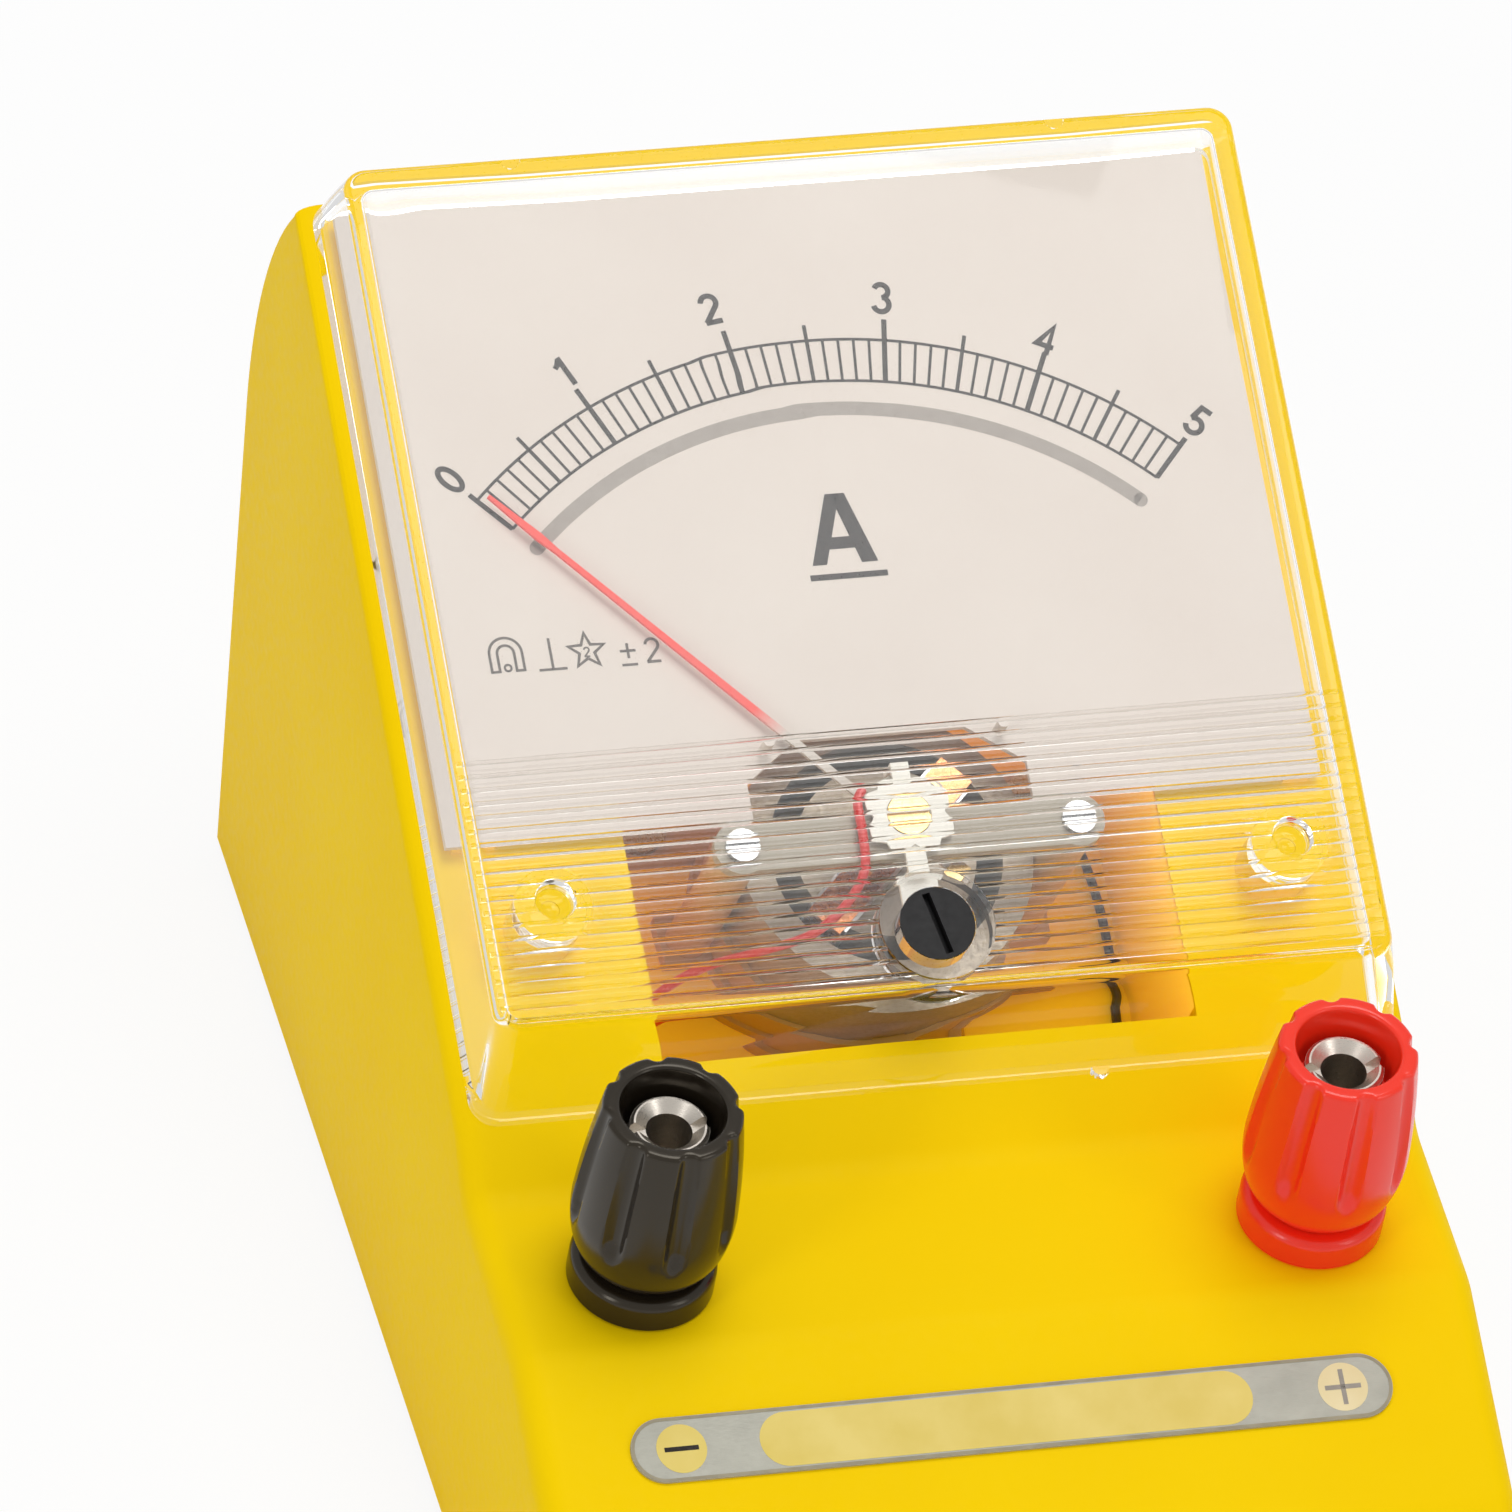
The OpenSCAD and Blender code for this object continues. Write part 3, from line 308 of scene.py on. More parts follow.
plus_grey = coat("plus_grey", (150, 142, 130), (142, 134, 122), (160, 152, 140),
                 (900, 3), 0.45, 0.5)


# ---------- mesh helpers ----------

def link(name, data):
    obj = bpy.data.objects.new(name, data)
    bpy.context.scene.collection.objects.link(obj)
    return obj


def loose(name, bm):
    """A work object, which combine() removes again."""
    mesh = bpy.data.meshes.new(name)
    bm.to_mesh(mesh)
    bm.free()
    return link(name, mesh)


def add(name, verts, faces, mat, place, body="meter", replaces=(), smooth=30, slot=None):
    """A piece from millimetres in a local frame; smooth is the sharpest smooth edge."""
    mesh = bpy.data.meshes.new(name)
    mesh.from_pydata([tuple(place @ Vector(v)) for v in verts], [], faces)
    finish_piece(name, mesh, mat, body, replaces, smooth)


def finish_piece(name, mesh, mat, body="meter", replaces=(), smooth=30):
    bm = bmesh.new()
    bm.from_mesh(mesh)
    bmesh.ops.remove_doubles(bm, verts=bm.verts, dist=1e-7)
    bmesh.ops.recalc_face_normals(bm, faces=bm.faces)
    for f in bm.faces:
        f.smooth = smooth > 0
    for e in bm.edges:
        e.smooth = len(e.link_faces) == 2 and e.calc_face_angle(0) < radians(smooth)
    bm.to_mesh(mesh)
    bm.free()
    mesh.materials.append(mat.m)
    obj = link(name, mesh)
    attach(obj, body)
    for n in replaces:
        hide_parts(n)


def flat(shapes, height):
    """Flat outlines [(x, y), ...] laid at one height."""
    verts, faces = [], []
    for shape in shapes:
        faces.append(list(range(len(verts), len(verts) + len(shape))))
        verts += [(x, y, height) for x, y in shape]
    return verts, faces


def ribbon(points, width, closed=False):
    """Quads that follow a line at one width, with mitred corners."""
    n = len(points)
    left, right = [], []
    for i, (x, y) in enumerate(points):
        ax, ay = points[(i - 1) % n] if closed or i else points[0]
        bx, by = points[(i + 1) % n] if closed or i < n - 1 else points[-1]
        d0, d1 = hypot(x - ax, y - ay) or 1, hypot(bx - x, by - y) or 1
        before, after = ((x - ax) / d0, (y - ay) / d0), ((bx - x) / d1, (by - y) / d1)
        tx, ty = before[0] + after[0], before[1] + after[1]
        k = hypot(tx, ty) or 1
        tx, ty = tx / k, ty / k
        ux, uy = after if (bx, by) != (x, y) else before
        w = width / 2 / max(0.45, tx * ux + ty * uy)
        left.append((x - ty * w, y + tx * w))
        right.append((x + ty * w, y - tx * w))
    last = n if closed else n - 1
    return [[right[i], right[(i + 1) % n], left[(i + 1) % n], left[i]] for i in range(last)]


def arc(cx, cy, r, a0, a1, steps, ry=None):
    """Points from angle a0 to a1; ry is the other radius of an ellipse."""
    turns = [radians(a0 + (a1 - a0) * i / steps) for i in range(steps + 1)]
    return [(cx + r * cos(a), cy + (ry or r) * sin(a)) for a in turns]


def disc(cx, cy, r, steps=48):
    return [(cx + r * cos(2 * pi * i / steps), cy + r * sin(2 * pi * i / steps))
            for i in range(steps)]


def pill(cx, cy, length, height, steps=20):
    """A strip with round ends."""
    h = (length - height) / 2
    return (arc(cx + h, cy, height / 2, -90, 90, steps)
            + arc(cx - h, cy, height / 2, 90, 270, steps))


# figures as strokes in a box one unit high, and the middle of that box
FIGURES = {
    "0": [arc(0.3, 0.5, 0.225, 0, 360, 32, 0.435)],
    "1": [[(0.08, 0.72), (0.2, 0.78), (0.33, 0.93)], [(0.34, 0.0), (0.34, 0.99)]],
    "2": [arc(0.29, 0.7, 0.235, 172, -38, 18) + [(0.09, 0.1), (0.055, 0.055)],
          [(0.03, 0.055), (0.55, 0.055)]],
    "3": [arc(0.28, 0.73, 0.215, 160, -85, 16), arc(0.28, 0.295, 0.24, 80, -165, 18)],
    "4": [[(0.42, 0.0), (0.42, 0.95), (0.05, 0.29), (0.58, 0.29)]],
    "5": [[(0.52, 0.945), (0.17, 0.945), (0.095, 0.49)], arc(0.28, 0.31, 0.25, 140, -160, 20)],
}
FIGURE_X, FIGURE_Y = 0.3, 0.5


def figure(text, x, y, size, turn, weight=0.17):
    """A figure's strokes about its middle, turned by degrees; weight is a share of its size."""
    c, s = cos(radians(turn)), sin(radians(turn))
    return [[(x + ((px - FIGURE_X) * c - (py - FIGURE_Y) * s) * size,
              y + ((px - FIGURE_X) * s + (py - FIGURE_Y) * c) * size) for px, py in quad]
            for stroke in FIGURES[text] for quad in ribbon(stroke, weight)]


# ---------- CAD nodes keep their shape and get their finish ----------

finish = {
    yellow: ["case", "base_plate"],
    black: ["black_collar", "black_cap"],
    red: ["red_collar", "red_cap"],
    knob: ["zero_adjuster"],
    rubber: ["rubber_feet"],
    clear: ["window_cover"],
    ivory: ["zero_lever"],
    frame_tan: ["movement_frame"],
    bridge_grey: ["top_bridge"],
    paper: ["scale_plate", "pointer_stops"],
    pointer_red: ["pointer"],
    label_silver: ["label_strip"],
    steel: ["base_screws", "frame_screws", "bridge_screws", "pivot_staffs", "post_washers"],
    brass: ["core_strap", "top_jewel_screw", "bottom_jewel_screw", "balance_weights",
            "black_insert", "red_insert"],
    iron: ["iron_yoke", "core_magnet"],
    alu: ["coil_former"],
    copper: ["coil_winding", "upper_hairspring", "lower_hairspring"],
    nickel: ["shunt_strip", "post_nuts", "black_stem", "red_stem"],
    red_wire: ["red_lead"],
    black_wire: ["black_lead"],
}
SHARP = 32              # degrees from which a CAD node's edge stays sharp
for mat, names in finish.items():
    for n in names:
        o = nodes[n]
        o.data.materials.clear()
        o.data.materials.append(mat.m)
        for p in o.data.polygons:
            p.use_smooth = True
        o.modifiers.new("weld", "WELD").merge_threshold = 1e-6
        o.modifiers.new("edges", "EDGE_SPLIT").split_angle = radians(SHARP)


# ---------- clear cover, in the face's frame ----------

cover_lo, cover_hi = extent("window_cover", FACE)
adj_lo, adj_hi = extent("zero_adjuster", FACE)
HALF, S0, S1 = cover_hi.x, cover_lo.y, cover_hi.y
DRAFT, RISE, BACK = 1.2, 5.3, 0.4       # how far the sides, the front and the back lean in
H_LOW, H_HIGH = 8.5, 8.0                # height over the face, at the front and at the back
WALL, LIFT = 1.6, 0.03                  # wall, and the foot's gap over the face
CORNER_FOOT, CORNER_TOP = 2.4, 2.1      # radius of the upright corners, outside
CORNER_IN_FOOT, CORNER_IN_TOP = 1.4, 1.2
EDGE_R, EDGE_IN_R = 0.7, 0.5            # rounding of the top's edge, outside and inside
REED_MARGIN = 0.5                       # between that edge and the face with the reeds
REED0, REED1, REEDS = S0 + RISE + 0.9, 30.2, 20
PITCH = (REED1 - REED0) / (REEDS - 1)
REED_HALF, REED_RISE = 0.18, 0.22       # half a reed's width, in pitches, and its height
REED_CUTS = (-0.19, -0.17, -0.14, -0.08, 0, 0.08, 0.14, 0.17, 0.19)


def cover_height(s):
    return H_LOW + (s - S0 - RISE) * (H_HIGH - H_LOW) / (S1 - BACK - S0 - RISE)


def cover_loop(level, inset, drop, r):
    """A rounded outline around the cover: level 0 at its foot, 1 at its top face."""
    x1 = HALF - DRAFT * level - inset
    s0, s1 = S0 + RISE * level + inset, S1 - BACK * level - inset
    corners = ((x1 - r, s0 + r, -90), (x1 - r, s1 - r, 0),
               (-x1 + r, s1 - r, 90), (-x1 + r, s0 + r, 180))
    return [(x, s, max(LIFT, level * cover_height(s) - drop))
            for cx, cy, a in corners for x, s in arc(cx, cy, r, a, a + 90, 8)]


def reed_height(s):
    u = (s - REED0) / PITCH
    i = round(u)
    if i < 0 or i >= REEDS or abs(u - i) >= REED_HALF:
        return 0.0
    return REED_RISE * sqrt(1 - (abs(u - i) / REED_HALF) ** 2)


def edge_loop(wall, r, corner, shrink, turn):
    """An outline on the top's rounded edge: turn 0 on the sides, 90 on the top."""
    t = radians(turn)
    return cover_loop(1.0, wall + r * (1 - cos(t)), wall + r * (1 - sin(t)),
                      corner - shrink * (1 - cos(t)))


def cover_shell():
    """The cover as one moulding: sides, rounded edge, inside, and reeds on the top face."""
    taper = CORNER_FOOT - CORNER_TOP
    outer = [cover_loop(level, 0, 0, CORNER_FOOT - taper * level) for level in (0, 0.35, 0.7)]
    outer += [edge_loop(0, EDGE_R, CORNER_TOP, 0.5, turn) for turn in (0, 18, 36, 54, 72, 90)]
    inner = [edge_loop(WALL, EDGE_IN_R, CORNER_IN_TOP, 0.4, turn)
             for turn in (90, 67.5, 45, 22.5, 0)]
    inner.append(cover_loop(0, WALL, 0, CORNER_IN_FOOT))

    bm = bmesh.new()
    outer = [[bm.verts.new(p) for p in ring] for ring in outer]
    inner = [[bm.verts.new(p) for p in ring] for ring in inner]
    for a, b in [*zip(outer, outer[1:]), *zip(inner, inner[1:]), (inner[-1], outer[0])]:
        for i in range(len(a)):
            j = (i + 1) % len(a)
            bm.faces.new((a[i], a[j], b[j], b[i]))
    bm.faces.new(inner[0])
    top = bm.faces.new(outer[-1])

    # the reeds stand on an inset of the top face, cut across where their profile bends
    bmesh.ops.inset_region(bm, faces=[top], thickness=REED_MARGIN)
    patch = [top]
    for s in [REED0 + (i + d) * PITCH for i in range(REEDS) for d in REED_CUTS]:
        edges = dict.fromkeys(e for f in patch for e in f.edges)
        verts = dict.fromkeys(v for f in patch for v in f.verts)
        cut = bmesh.ops.bisect_plane(bm, geom=[*patch, *edges, *verts], plane_co=(0, s, 0),
                                     plane_no=(0, 1, 0), dist=1e-6)
        patch = [g for g in cut["geom"] if isinstance(g, bmesh.types.BMFace)]
    for v in dict.fromkeys(v for f in patch for v in f.verts):
        v.co.z += reed_height(v.co.y)
    bmesh.ops.recalc_face_normals(bm, faces=bm.faces)
    return loose("cover_work", bm)


def tool(kind, x, s, n0, n1, r0, r1=None):
    """A round cutter or boss along the face's normal, from n0 to n1."""
    bm = bmesh.new()
    bmesh.ops.create_cone(bm, cap_ends=True, segments=64, radius1=r0,
                          radius2=r1 if r1 is not None else r0, depth=n1 - n0,
                          matrix=Matrix.Translation((x, s, (n0 + n1) / 2)))
    return loose(kind, bm)


def ball(kind, x, s, n, r):
    bm = bmesh.new()
    bmesh.ops.create_uvsphere(bm, u_segments=40, v_segments=24, radius=r,
                              matrix=Matrix.Translation((x, s, n)))
    return loose(kind, bm)


def combine(obj, others):
    """The mesh of an object after booleans with others; all of them are removed."""
    for o, op in others:
        m = obj.modifiers.new("b", "BOOLEAN")
        m.object, m.operation, m.solver = o, op, "EXACT"
    dg = bpy.context.evaluated_depsgraph_get()
    mesh = bpy.data.meshes.new_from_object(obj.evaluated_get(dg))
    for o in [o for o, _ in others] + [obj]:
        bpy.data.objects.remove(o)
    return mesh


PEG_X, PEG_S, PEG_R = 32.8, 17.2, 1.38
PEG_BOSS_N, PEG_BOSS_SUNK = 4.3, 0.6    # its lower end, and its top within the wall
PEG_BOSS_R0, PEG_BOSS_R1 = 3.2, 3.5
DIMPLE_N, DIMPLE_R = 0.5, 1.9           # centre over the top face, and radius
BOSS_TOP = 4.12                         # top of the case's bosses, with the pegs' ends
ADJ_S = (adj_lo.y + adj_hi.y) / 2
ADJ_BOSS_N, ADJ_BOSS_R, ADJ_BOSS_RISE = 4.9, 5.1, 0.35
ADJ_WELL_N, ADJ_WELL_R, ADJ_NECK_R = 5.8, 3.36, 1.36
GATE_X, GATE_OUT = 14.4, 0.4            # gate mark at the foot of the front
GATE_N, GATE_R = (0.05, 0.7), (0.95, 0.8)
SCARS_X, SCAR_IN, SCAR_DEEP, SCAR_R = (-25, 24), 0.2, 0.35, 0.9     # nicks at the back edge

adj_top, peg_top = cover_height(ADJ_S), cover_height(PEG_S)
ops = [(tool("boss", 0, ADJ_S, ADJ_BOSS_N, adj_top + ADJ_BOSS_RISE, ADJ_BOSS_R), "UNION")]
for x in (-PEG_X, PEG_X):
    ops.append((tool("peg_boss", x, PEG_S, PEG_BOSS_N, peg_top - PEG_BOSS_SUNK,
                     PEG_BOSS_R0, PEG_BOSS_R1), "UNION"))
    ops.append((ball("dimple", x, PEG_S, peg_top + DIMPLE_N, DIMPLE_R), "DIFFERENCE"))
ops.append((tool("well", 0, ADJ_S, ADJ_WELL_N, 12, ADJ_WELL_R), "DIFFERENCE"))
ops.append((tool("gate", GATE_X, S0 + GATE_OUT, *GATE_N, *GATE_R), "UNION"))
for x in SCARS_X:
    ops.append((tool("gate_scar", x, S1 - BACK - SCAR_IN, cover_height(S1) - SCAR_DEEP, 10,
                     SCAR_R), "DIFFERENCE"))
ops.append((tool("neck", 0, ADJ_S, 3, 8, ADJ_NECK_R), "DIFFERENCE"))
cover = combine(cover_shell(), ops)
cover.transform(FACE)
finish_piece("clear_cover", cover, clear, replaces=["window_cover"], smooth=36)
add("peg_ends", *flat([disc(side * PEG_X, PEG_S, PEG_R, 32) for side in (-1, 1)], BOSS_TOP),
    yellow, FACE, smooth=0)


# ---------- movement: what the solids leave plain ----------

WIRE_R, WIRE_SIDES, WIRE_STEPS = 0.42, 12, 5


def tube(name, points, mat, node):
    """A round wire through points in millimetres, smoothed between them."""
    last = len(points) - 1
    path = []
    for i in range(last):
        a, b, c, d = (Vector(points[max(0, min(last, i + k))]) for k in (-1, 0, 1, 2))
        for k in range(WIRE_STEPS):
            t = k / WIRE_STEPS
            path.append(0.5 * (2 * b + (c - a) * t + (2 * a - 5 * b + 4 * c - d) * t ** 2
                               + (3 * b - a - 3 * c + d) * t ** 3))
    path.append(Vector(points[-1]))
    verts, u = [], None
    for i, q in enumerate(path):
        t = (path[min(i + 1, len(path) - 1)] - path[max(i - 1, 0)]).normalized()
        if u is None:
            u = Vector((0, 0, 1)).cross(t) if abs(t.z) < 0.9 else X
        u = (u - t * u.dot(t)).normalized()
        v = t.cross(u)
        verts += [tuple(q + (u * x + v * y) * WIRE_R) for x, y in disc(0, 0, 1, WIRE_SIDES)]
    rings = [range(i * WIRE_SIDES, (i + 1) * WIRE_SIDES) for i in range(len(path))]
    faces = [(a[k], a[(k + 1) % WIRE_SIDES], b[(k + 1) % WIRE_SIDES], b[k])
             for a, b in zip(rings, rings[1:]) for k in range(WIRE_SIDES)]
    faces += [tuple(rings[0])[::-1], tuple(rings[-1])]
    add(name, verts, faces, mat, Matrix.Scale(MM, 4), replaces=[node])


def route(side, points):
    """From points in the face's frame through the well's hole and on to the shunt strip."""
    hole = [(side * 20.5, 8.4, -22.6)]
    to_shunt = [(20.5, -15, 16.5), (21.5, -24, 17.5), (22, -30.6, 25.4), (22, -33.1, 28.4)]
    return ([tuple((FACE @ Vector(p)) / MM) for p in points + hole]
            + [(side * x, y, z) for x, y, z in to_shunt])


tube("red_wire", route(-1, [
    (-3.7, 25.6, 5.75), (-4.35, 24.4, 5.8), (-4.4, 21.5, 5.8), (-4.7, 18.4, 5.4), (-6.4, 16.0, 4.0),
    (-9.2, 14.4, 1.5), (-12.8, 14.6, -2.5), (-16.4, 15.4, -8), (-19.6, 15, -13.5),
    (-21.6, 13, -16.8), (-21.4, 10.4, -18), (-20.5, 8.4, -19.2)]), red_wire, "red_lead")
tube("black_wire", route(1, [
    (19.6, 31.0, -17.9), (21.6, 28, -18.2), (22.6, 22, -18.2), (22.7, 14, -18.2),
    (21.8, 10.2, -18.4), (20.5, 8.4, -19.5)]), black_wire, "black_lead")

# white bracket round the jewel, on the zero lever: a rounded square with eight notches
BRACKET_X, BRACKET_S, BRACKET_HOLE = 3.7, 3.3, 1.98
BRACKET_TOP, BRACKET_T, NOTCH, TURNS = 5.88, 0.26, 0.55, 64
OVAL_X, OVAL_S = 4.2, 3.752             # the oval that rounds its corners


def bracket_edge(a):
    oval = hypot(OVAL_X * cos(a), OVAL_S * sin(a))
    square = min(BRACKET_X / max(abs(cos(a)), 1e-6), BRACKET_S / max(abs(sin(a)), 1e-6))
    return min(oval, square) - NOTCH * (0.5 + 0.5 * cos(8 * a)) ** 3


verts = []
for reach in (bracket_edge, lambda a: BRACKET_HOLE):
    for z in (BRACKET_TOP, BRACKET_TOP - BRACKET_T):
        for k in range(TURNS):
            a = 2 * pi * k / TURNS
            verts.append((reach(a) * cos(a), PIVOT_S + reach(a) * sin(a), z))
faces = []
for k in range(TURNS):
    (a, b, c, d), (a1, b1, c1, d1) = ([ring * TURNS + i for ring in range(4)]
                                      for i in (k, (k + 1) % TURNS))
    faces += [(a, a1, c1, c), (b, d, d1, b1), (a, b, b1, a1), (c, c1, d1, d)]
add("lever_bracket", verts, faces, ivory, FACE, body="lever_body", smooth=0)


# ---------- print on the scale, in the face's frame ----------

INK_N = extent("scale_plate", FACE)[1].z + 0.02     # height of the lines' print
BAND_N, FIGURE_N = INK_N - 0.005, INK_N + 0.004     # the band under them, the figures over
SCALE_R, SWEEP = 46.2, 86.3             # outer arc, and degrees from zero to full scale
TICK_FOOT_R, BAND_R, BAND_W = SCALE_R * 0.915, 39.6, 1.3
ARC_W, MAJOR_W, HALF_W, MINOR_W = 0.26, 0.46, 0.34, 0.25
FINE_W, STAR_W = 0.24, 0.26
on_scale = dict(place=FACE, smooth=0, slot="scale_white")


def polar(r, share):
    """A point at a radius from the pivot and at a share of full scale."""
    a = radians(90 + SWEEP * (0.5 - share))
    return (r * cos(a), PIVOT_S + r * sin(a))


lines = []
for r in (SCALE_R, TICK_FOOT_R):
    lines += ribbon([polar(r, i / 160) for i in range(161)], ARC_W)
for i in range(51):
    major, half = i % 10 == 0, i % 5 == 0
    reach = 1.018 if i in (0, 50) else 1.043 if major else 1.032 if half else 1.0
    width = MAJOR_W if major else HALF_W if half else MINOR_W
    lines += ribbon([polar(TICK_FOOT_R, i / 50), polar(SCALE_R * reach, i / 50)], width)
add("scale_lines", *flat(lines, INK_N), ink, **on_scale)

band = ribbon([polar(BAND_R, i / 80) for i in range(81)], BAND_W)
band += [disc(*polar(BAND_R, end), BAND_W / 2, 24) for end in (0, 1)]
add("scale_band", *flat(band, BAND_N), band_grey, **on_scale)

FIGURE_SIZE = 2.9
figures = []
for i, (x, s) in enumerate([(-33.6, 58.9), (-21.7, 68.1), (-8.0, 72.85),
                            (7.4, 72.65), (21.4, 67.6), (33.55, 58.8)]):
    figures += figure(str(i), x, s, FIGURE_SIZE, -degrees(atan2(x, s - PIVOT_S)))
# the letter A, with a line under it
A_FOOT, A_TOP = 48.2, 54.75
figures += [[(-3.09, A_FOOT), (-1.8, A_FOOT), (0.45, A_TOP), (-0.85, A_TOP)],
            [(2.81, A_FOOT), (1.35, A_FOOT), (-0.45, A_TOP), (0.88, A_TOP)],
            [(-1.62, 49.6), (1.5, 49.6), (1.22, 50.7), (-1.25, 50.7)]]
figures += ribbon([(-3.49, 47.05), (3.45, 47.05)], 0.55)
add("scale_figures", *flat(figures, FIGURE_N), ink, **on_scale)

# signs of movement, use, test and accuracy: magnet, upright, star, plus or minus two
MAGNET_X, MAGNET_S, MAGNET_FOOT = -31.55, 42.4, 40.75
STAR_X, STAR_S = -24.4, 42.05
CLASS_X, CLASS_S = -20.8, 41.75
marks = []
for r in (1.45, 0.75):
    marks += ribbon([(MAGNET_X - r, MAGNET_FOOT)] + arc(MAGNET_X, MAGNET_S, r, 180, 0, 16)
                    + [(MAGNET_X + r, MAGNET_FOOT)], FINE_W)
for side in (-1, 1):
    marks += ribbon([(MAGNET_X + side * 1.57, MAGNET_FOOT),
                     (MAGNET_X + side * 0.63, MAGNET_FOOT)], FINE_W)
marks += ribbon(arc(MAGNET_X, MAGNET_FOOT + 0.3, 0.3, 0, 360, 12), 0.2)
for stroke in ([(-28.85, 40.6), (-26.35, 40.6)], [(-27.6, 40.6), (-27.6, 43.5)]):
    marks += ribbon(stroke, FINE_W)
star = [(STAR_X + r * sin(radians(36 * k)), STAR_S + r * cos(radians(36 * k)))
        for k, r in enumerate([1.65, 0.7] * 5)]
marks += ribbon(star, STAR_W, closed=True)
marks += figure("2", STAR_X, STAR_S - 0.1, 0.95, 0, 0.16)
for dx, s0, s1 in ((0.7, CLASS_S, CLASS_S), (0, CLASS_S - 0.7, CLASS_S + 0.7),
                   (0.7, CLASS_S - 1.3, CLASS_S - 1.3)):
    marks += ribbon([(CLASS_X - dx, s0), (CLASS_X + dx, s1)], FINE_W)
marks += figure("2", -18.6, 41.65, 2.4, 0, 0.11)
add("scale_symbols", *flat(marks, INK_N), fine_ink, **on_scale)


# ---------- print on the label, in its own frame ----------

strip_l, STRIP_W = (label_hi.x - label_lo.x) / MM, 5.8
EDGE_IN, EDGE_W = 0.35, 0.28            # the line along the strip's edge
FIELD_X, FIELD_L, FIELD_W = -0.6, 43.5, 4.9
SIGN_X, SIGN_R, SIGN_W = 29.2, 2.2, 0.42
FIELD_N, EDGE_N, SIGN_N = 0.015, 0.02, 0.03         # heights of the print, one over another
on_label = dict(place=LABEL, smooth=0, slot="label_silver")
edge = ribbon(pill(0, 0, strip_l - EDGE_IN, STRIP_W - EDGE_IN), EDGE_W, closed=True)
add("label_outline", *flat(edge, EDGE_N), label_edge, **on_label)
fields = [pill(FIELD_X, 0, FIELD_L, FIELD_W), disc(-SIGN_X, 0, SIGN_R)]
add("label_fields", *flat(fields, FIELD_N), label_yellow, **on_label)
add("label_disc", *flat([disc(SIGN_X, 0, SIGN_R)], FIELD_N), label_pale, **on_label)
minus = ribbon([(-SIGN_X - 1.5, 0), (-SIGN_X + 1.5, 0)], SIGN_W)
add("label_minus", *flat(minus, SIGN_N), ink, **on_label)
plus = (ribbon([(SIGN_X - 1.6, 0), (SIGN_X + 1.6, 0)], SIGN_W)
        + ribbon([(SIGN_X, -1.6), (SIGN_X, 1.6)], SIGN_W))
add("label_plus", *flat(plus, SIGN_N), plus_grey, **on_label)


# ---------- fluted caps, in a post's frame ----------

CAP_LOW, CAP_H = 3.35, 18.0             # foot above the ledge, and height
FOOT_R, WIDE_R, TOP_R = 5.0, 7.1, 5.95
FOOT_Z, WIDE_Z = 0.5, CAP_H * 0.34      # where the belly starts, and where it is widest
MOUTH_R, BORE_R, RIM_MIN = 4.5, 3.7, 0.1            # RIM_MIN: flat left on the rim
FLUTES, FLUTE_R, FLUTE_OUT = 8, 1.0, 0.25
FLUTE_FADE = 0.32                       # how much shallower the flutes are at the top
FLUTE_SOFT = 0.22                       # softness of their edges
RIM_R, LIP_R = 0.5, 0.4                 # rounding of the top, outside and at the mouth
CAP_SEG = 240


def cap_profile(z):
    if z < FOOT_Z:
        return FOOT_R
    if z < WIDE_Z:
        c = 1 - (z - FOOT_Z) / (WIDE_Z - FOOT_Z)
        return FOOT_R + (WIDE_R - FOOT_R) * sqrt(max(0, 1 - c * c))
    t = (z - WIDE_Z) / (CAP_H - WIDE_Z)
    return WIDE_R + (TOP_R - WIDE_R) * (0.35 * t + 0.65 * t * t)


def cap_radius(z, a):
    """The profile's radius, less what the nearest flute takes off."""
    r = cap_profile(z)
    up = max(0, (z - WIDE_Z) / (CAP_H - WIDE_Z))
    axis = WIDE_R + FLUTE_OUT - up * (WIDE_R - TOP_R) + FLUTE_FADE * up
    reach = FLUTE_R if z >= WIDE_Z else sqrt(max(0, FLUTE_R ** 2 - (WIDE_Z - z) ** 2))
    d = (a / (2 * pi) * FLUTES % 1 - 0.5) * 2 * pi / FLUTES
    side = axis * sin(d)
    if abs(side) < reach:
        groove = axis * cos(d) - sqrt(reach ** 2 - side ** 2)
        x = (r - groove) / FLUTE_SOFT
        if x >= 1:
            r = groove
        elif x > -1:
            r -= FLUTE_SOFT * (x + 1) ** 2 / 4
    return r


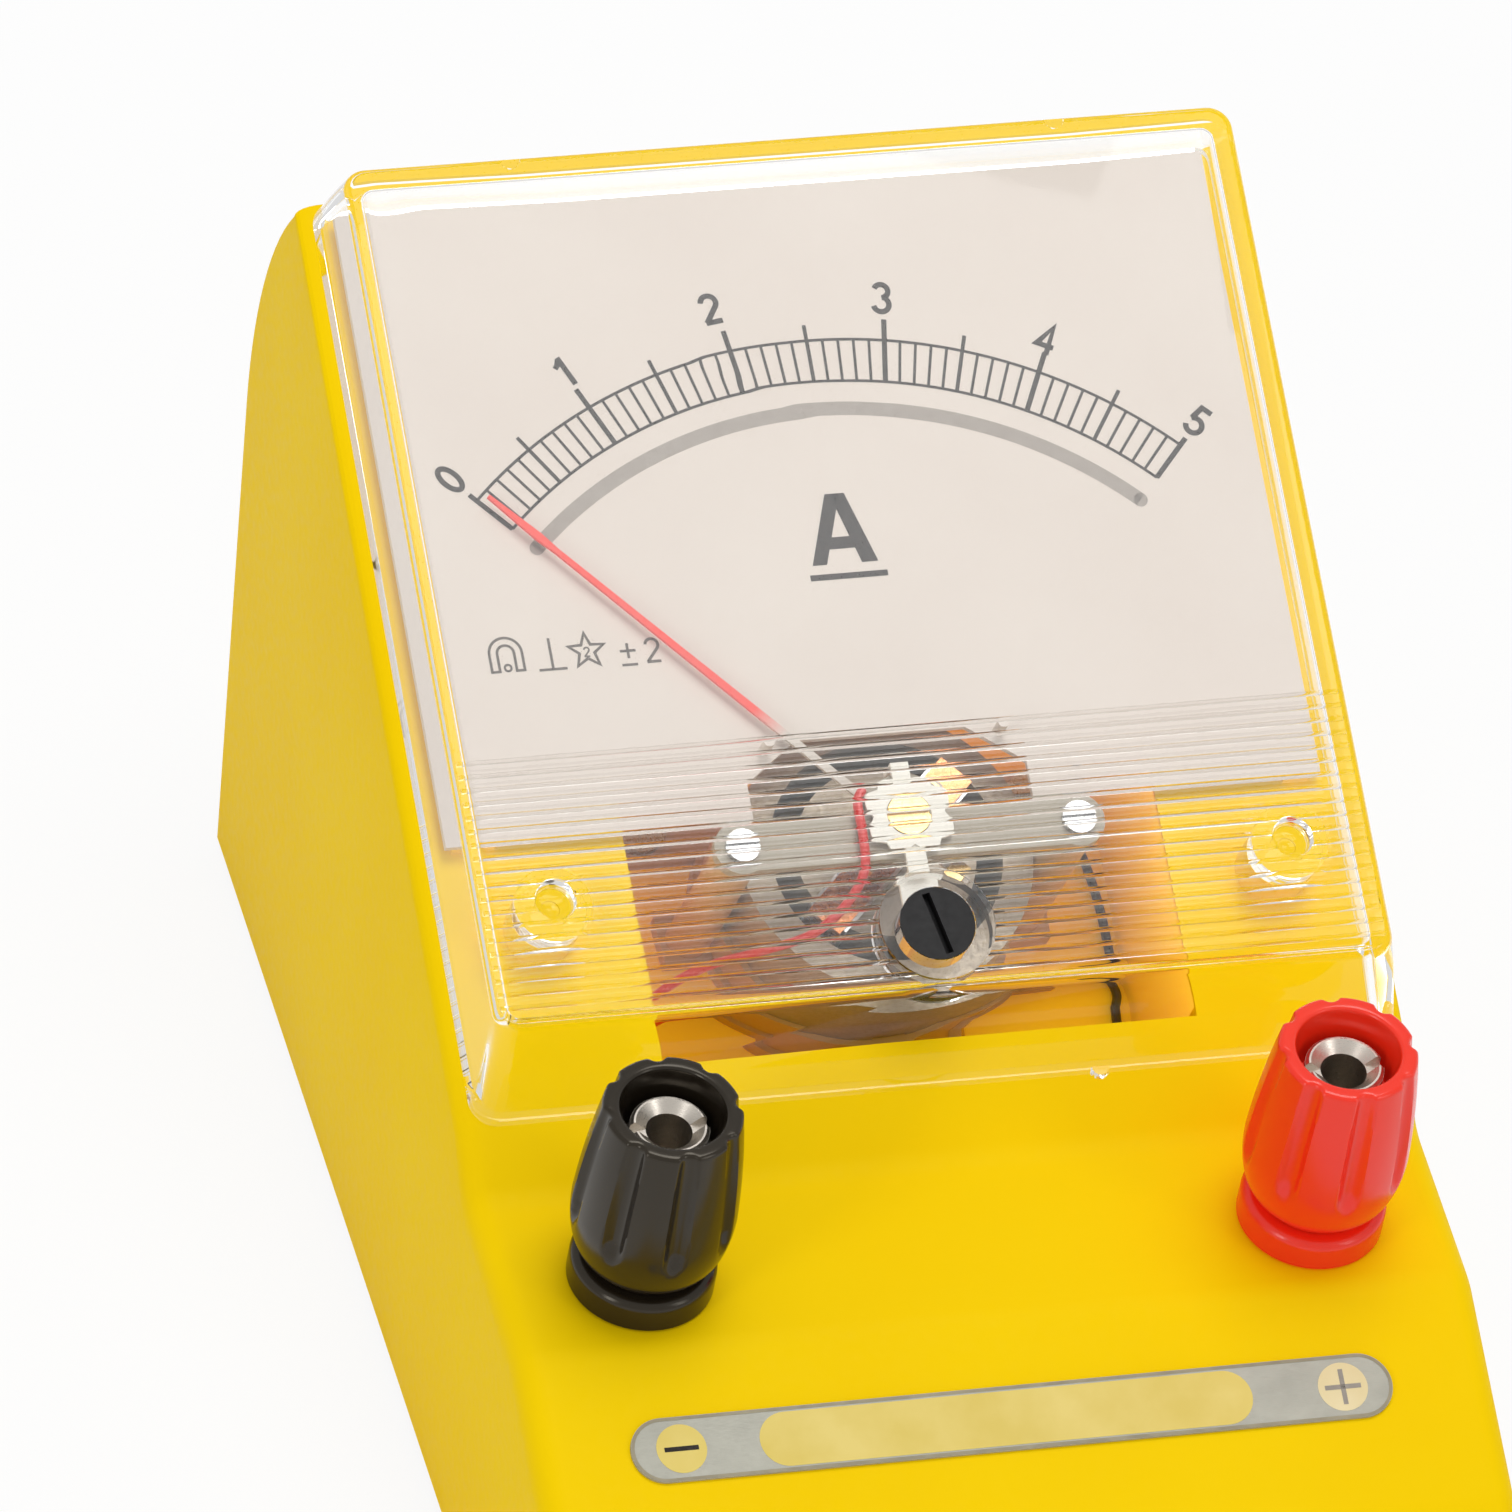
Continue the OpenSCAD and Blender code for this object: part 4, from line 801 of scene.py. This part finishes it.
def cap(name, node, place, body, mat, slot):
    levels = [0, 0.12, 0.3, FOOT_Z]
    levels += [FOOT_Z + (WIDE_Z - FOOT_Z) * (1 - cos(radians(90 * i / 12))) for i in range(1, 13)]
    levels += [WIDE_Z + (CAP_H - WIDE_Z - RIM_R) * i / 18 for i in range(1, 19)]
    rings = [[(BORE_R, 1.2)] * CAP_SEG, [(BORE_R, 0)] * CAP_SEG]
    rings += [[(cap_radius(z, 2 * pi * i / CAP_SEG), z) for i in range(CAP_SEG)] for z in levels]
    side = rings[-1]
    for t in [radians(90 * k / 5) for k in range(1, 6)]:
        rings.append([(r - RIM_R * (1 - cos(t)), z + RIM_R * sin(t)) for r, z in side])
    rim = rings[-1]
    mouth = [(MOUTH_R + LIP_R * (1 - sin(t)), CAP_H - LIP_R * (1 - cos(t)))
             for t in [radians(22.5 * k) for k in range(5)]]
    mouth += [(MOUTH_R - 0.2, CAP_H - 1.6), (MOUTH_R - 0.5, CAP_H - 5),
              (BORE_R, CAP_H - 5.05), (BORE_R, 6.5)]
    rings += [[(min(r, edge - RIM_MIN), z) for edge, _ in rim] for r, z in mouth]
    verts, faces = [], []
    for ring in rings:
        for i, (r, z) in enumerate(ring):
            a = 2 * pi * i / CAP_SEG + pi / 8
            verts.append((r * cos(a), r * sin(a), z + CAP_LOW))
    for j in range(len(rings) - 1):
        low, high = j * CAP_SEG, (j + 1) * CAP_SEG
        for i in range(CAP_SEG):
            k = (i + 1) % CAP_SEG
            faces.append((low + i, low + k, high + k, high + i))
    add(name, verts, faces, mat, place, body, [node], 50, slot)


cap("black_cap_detail", "black_cap", post_frame("black"), "black_cap_body", black, "black_plastic")
cap("red_cap_detail", "red_cap", post_frame("red"), "red_cap_body", red, "red_plastic")


# ---------- floor, light and camera ----------

# the floor keeps the object's shadow, and is white to every ray but diffuse ones
FLOOR_GLOW, FLOOR_HALF = 0.9, 6
floor_mat = Mat("floor", (0.9, 0.9, 0.9), 0.8)
path = floor_mat.node("ShaderNodeLightPath").outputs
seen = math_node(floor_mat.t, "MAXIMUM", path["Is Camera Ray"], path["Is Glossy Ray"])
seen = math_node(floor_mat.t, "MAXIMUM", seen, path["Is Transmission Ray"])
white = floor_mat.node("ShaderNodeEmission", Color=(1, 1, 1, 1))
floor_mat.swap(math_node(floor_mat.t, "MULTIPLY", seen, FLOOR_GLOW), white)
floor_mesh = bpy.data.meshes.new("floor")
corners = [(x * FLOOR_HALF, y * FLOOR_HALF, 0) for x, y in ((-1, -1), (1, -1), (1, 1), (-1, 1))]
floor_mesh.from_pydata(corners, [], [(0, 1, 2, 3)])
floor_mesh.materials.append(floor_mat.m)
floor = link("floor", floor_mesh)

# the world is white to the camera, and weaker as light and in reflections
AMBIENT, SEEN_IN_GLOSS = 0.5, 0.68
world = bpy.data.worlds.new("world")
bpy.context.scene.world = world
world.use_nodes = True
sky = world.node_tree
path = sky.nodes.new("ShaderNodeLightPath").outputs
gloss = math_node(sky, "MAXIMUM", path["Is Glossy Ray"], path["Is Transmission Ray"])
level = math_node(sky, "MULTIPLY_ADD", gloss, SEEN_IN_GLOSS - AMBIENT, AMBIENT)
background = sky.nodes["Background"].inputs
background["Color"].default_value = (1, 1, 1, 1)
sky.links.new(math_node(sky, "MAXIMUM", level, path["Is Camera Ray"]), background["Strength"])


def area(name, pos, size, power):
    """A rectangular lamp aimed at the meter's middle."""
    data = bpy.data.lights.new(name, "AREA")
    data.shape, data.size, data.size_y = "RECTANGLE", size[0], size[1]
    data.energy = power
    o = link(name, data)
    o.location = pos
    aim = Vector((0, 0, 0.04)) - Vector(pos)
    o.rotation_euler = aim.to_track_quat("-Z", "Y").to_euler()


area("overhead", (0.15, 0.1, 1.3), (0.7, 0.7), 6.5)
area("right_front", (1.1, -1.2, 0.9), (0.4, 0.9), 2.6)
area("left_front", (-1.3, -0.9, 0.7), (0.35, 0.8), 4)

# the camera looks down over the left front corner and is rolled a little
AZIMUTH, ELEVATION, ROLL = radians(-20.71), radians(42.08), radians(9.44)
DIST, SENSOR = 1.6, 36
VIEW_MM = 131.18167     # width of the view, in the plane of the point it aims at
AIM_RIGHT, AIM_UP, AIM_Z = -11.352, 54.467, 1.5     # that point from the foot of the face
back = Vector((sin(AZIMUTH) * cos(ELEVATION), -cos(AZIMUTH) * cos(ELEVATION), sin(ELEVATION)))
right = Vector((cos(AZIMUTH), sin(AZIMUTH), 0))
up = back.cross(right)
cam_right = right * cos(ROLL) + up * sin(ROLL)
cam_up = up * cos(ROLL) - right * sin(ROLL)
foot = FACE.translation
aim_at = Vector((0, foot.y, AIM_Z * MM)) + (cam_right * AIM_RIGHT + cam_up * AIM_UP) * MM
cam = bpy.data.cameras.new("camera")
cam.sensor_width = SENSOR
cam.lens = SENSOR * DIST / (VIEW_MM * MM)
cam.clip_start, cam.clip_end = 0.05, 30
rig = link("camera", cam)
turned = Matrix((cam_right, cam_up, back)).transposed()
rig.matrix_world = Matrix.Translation(aim_at + back * DIST) @ turned.to_4x4()
bpy.context.scene.camera = rig
bpy.context.scene.view_settings.view_transform = "Standard"
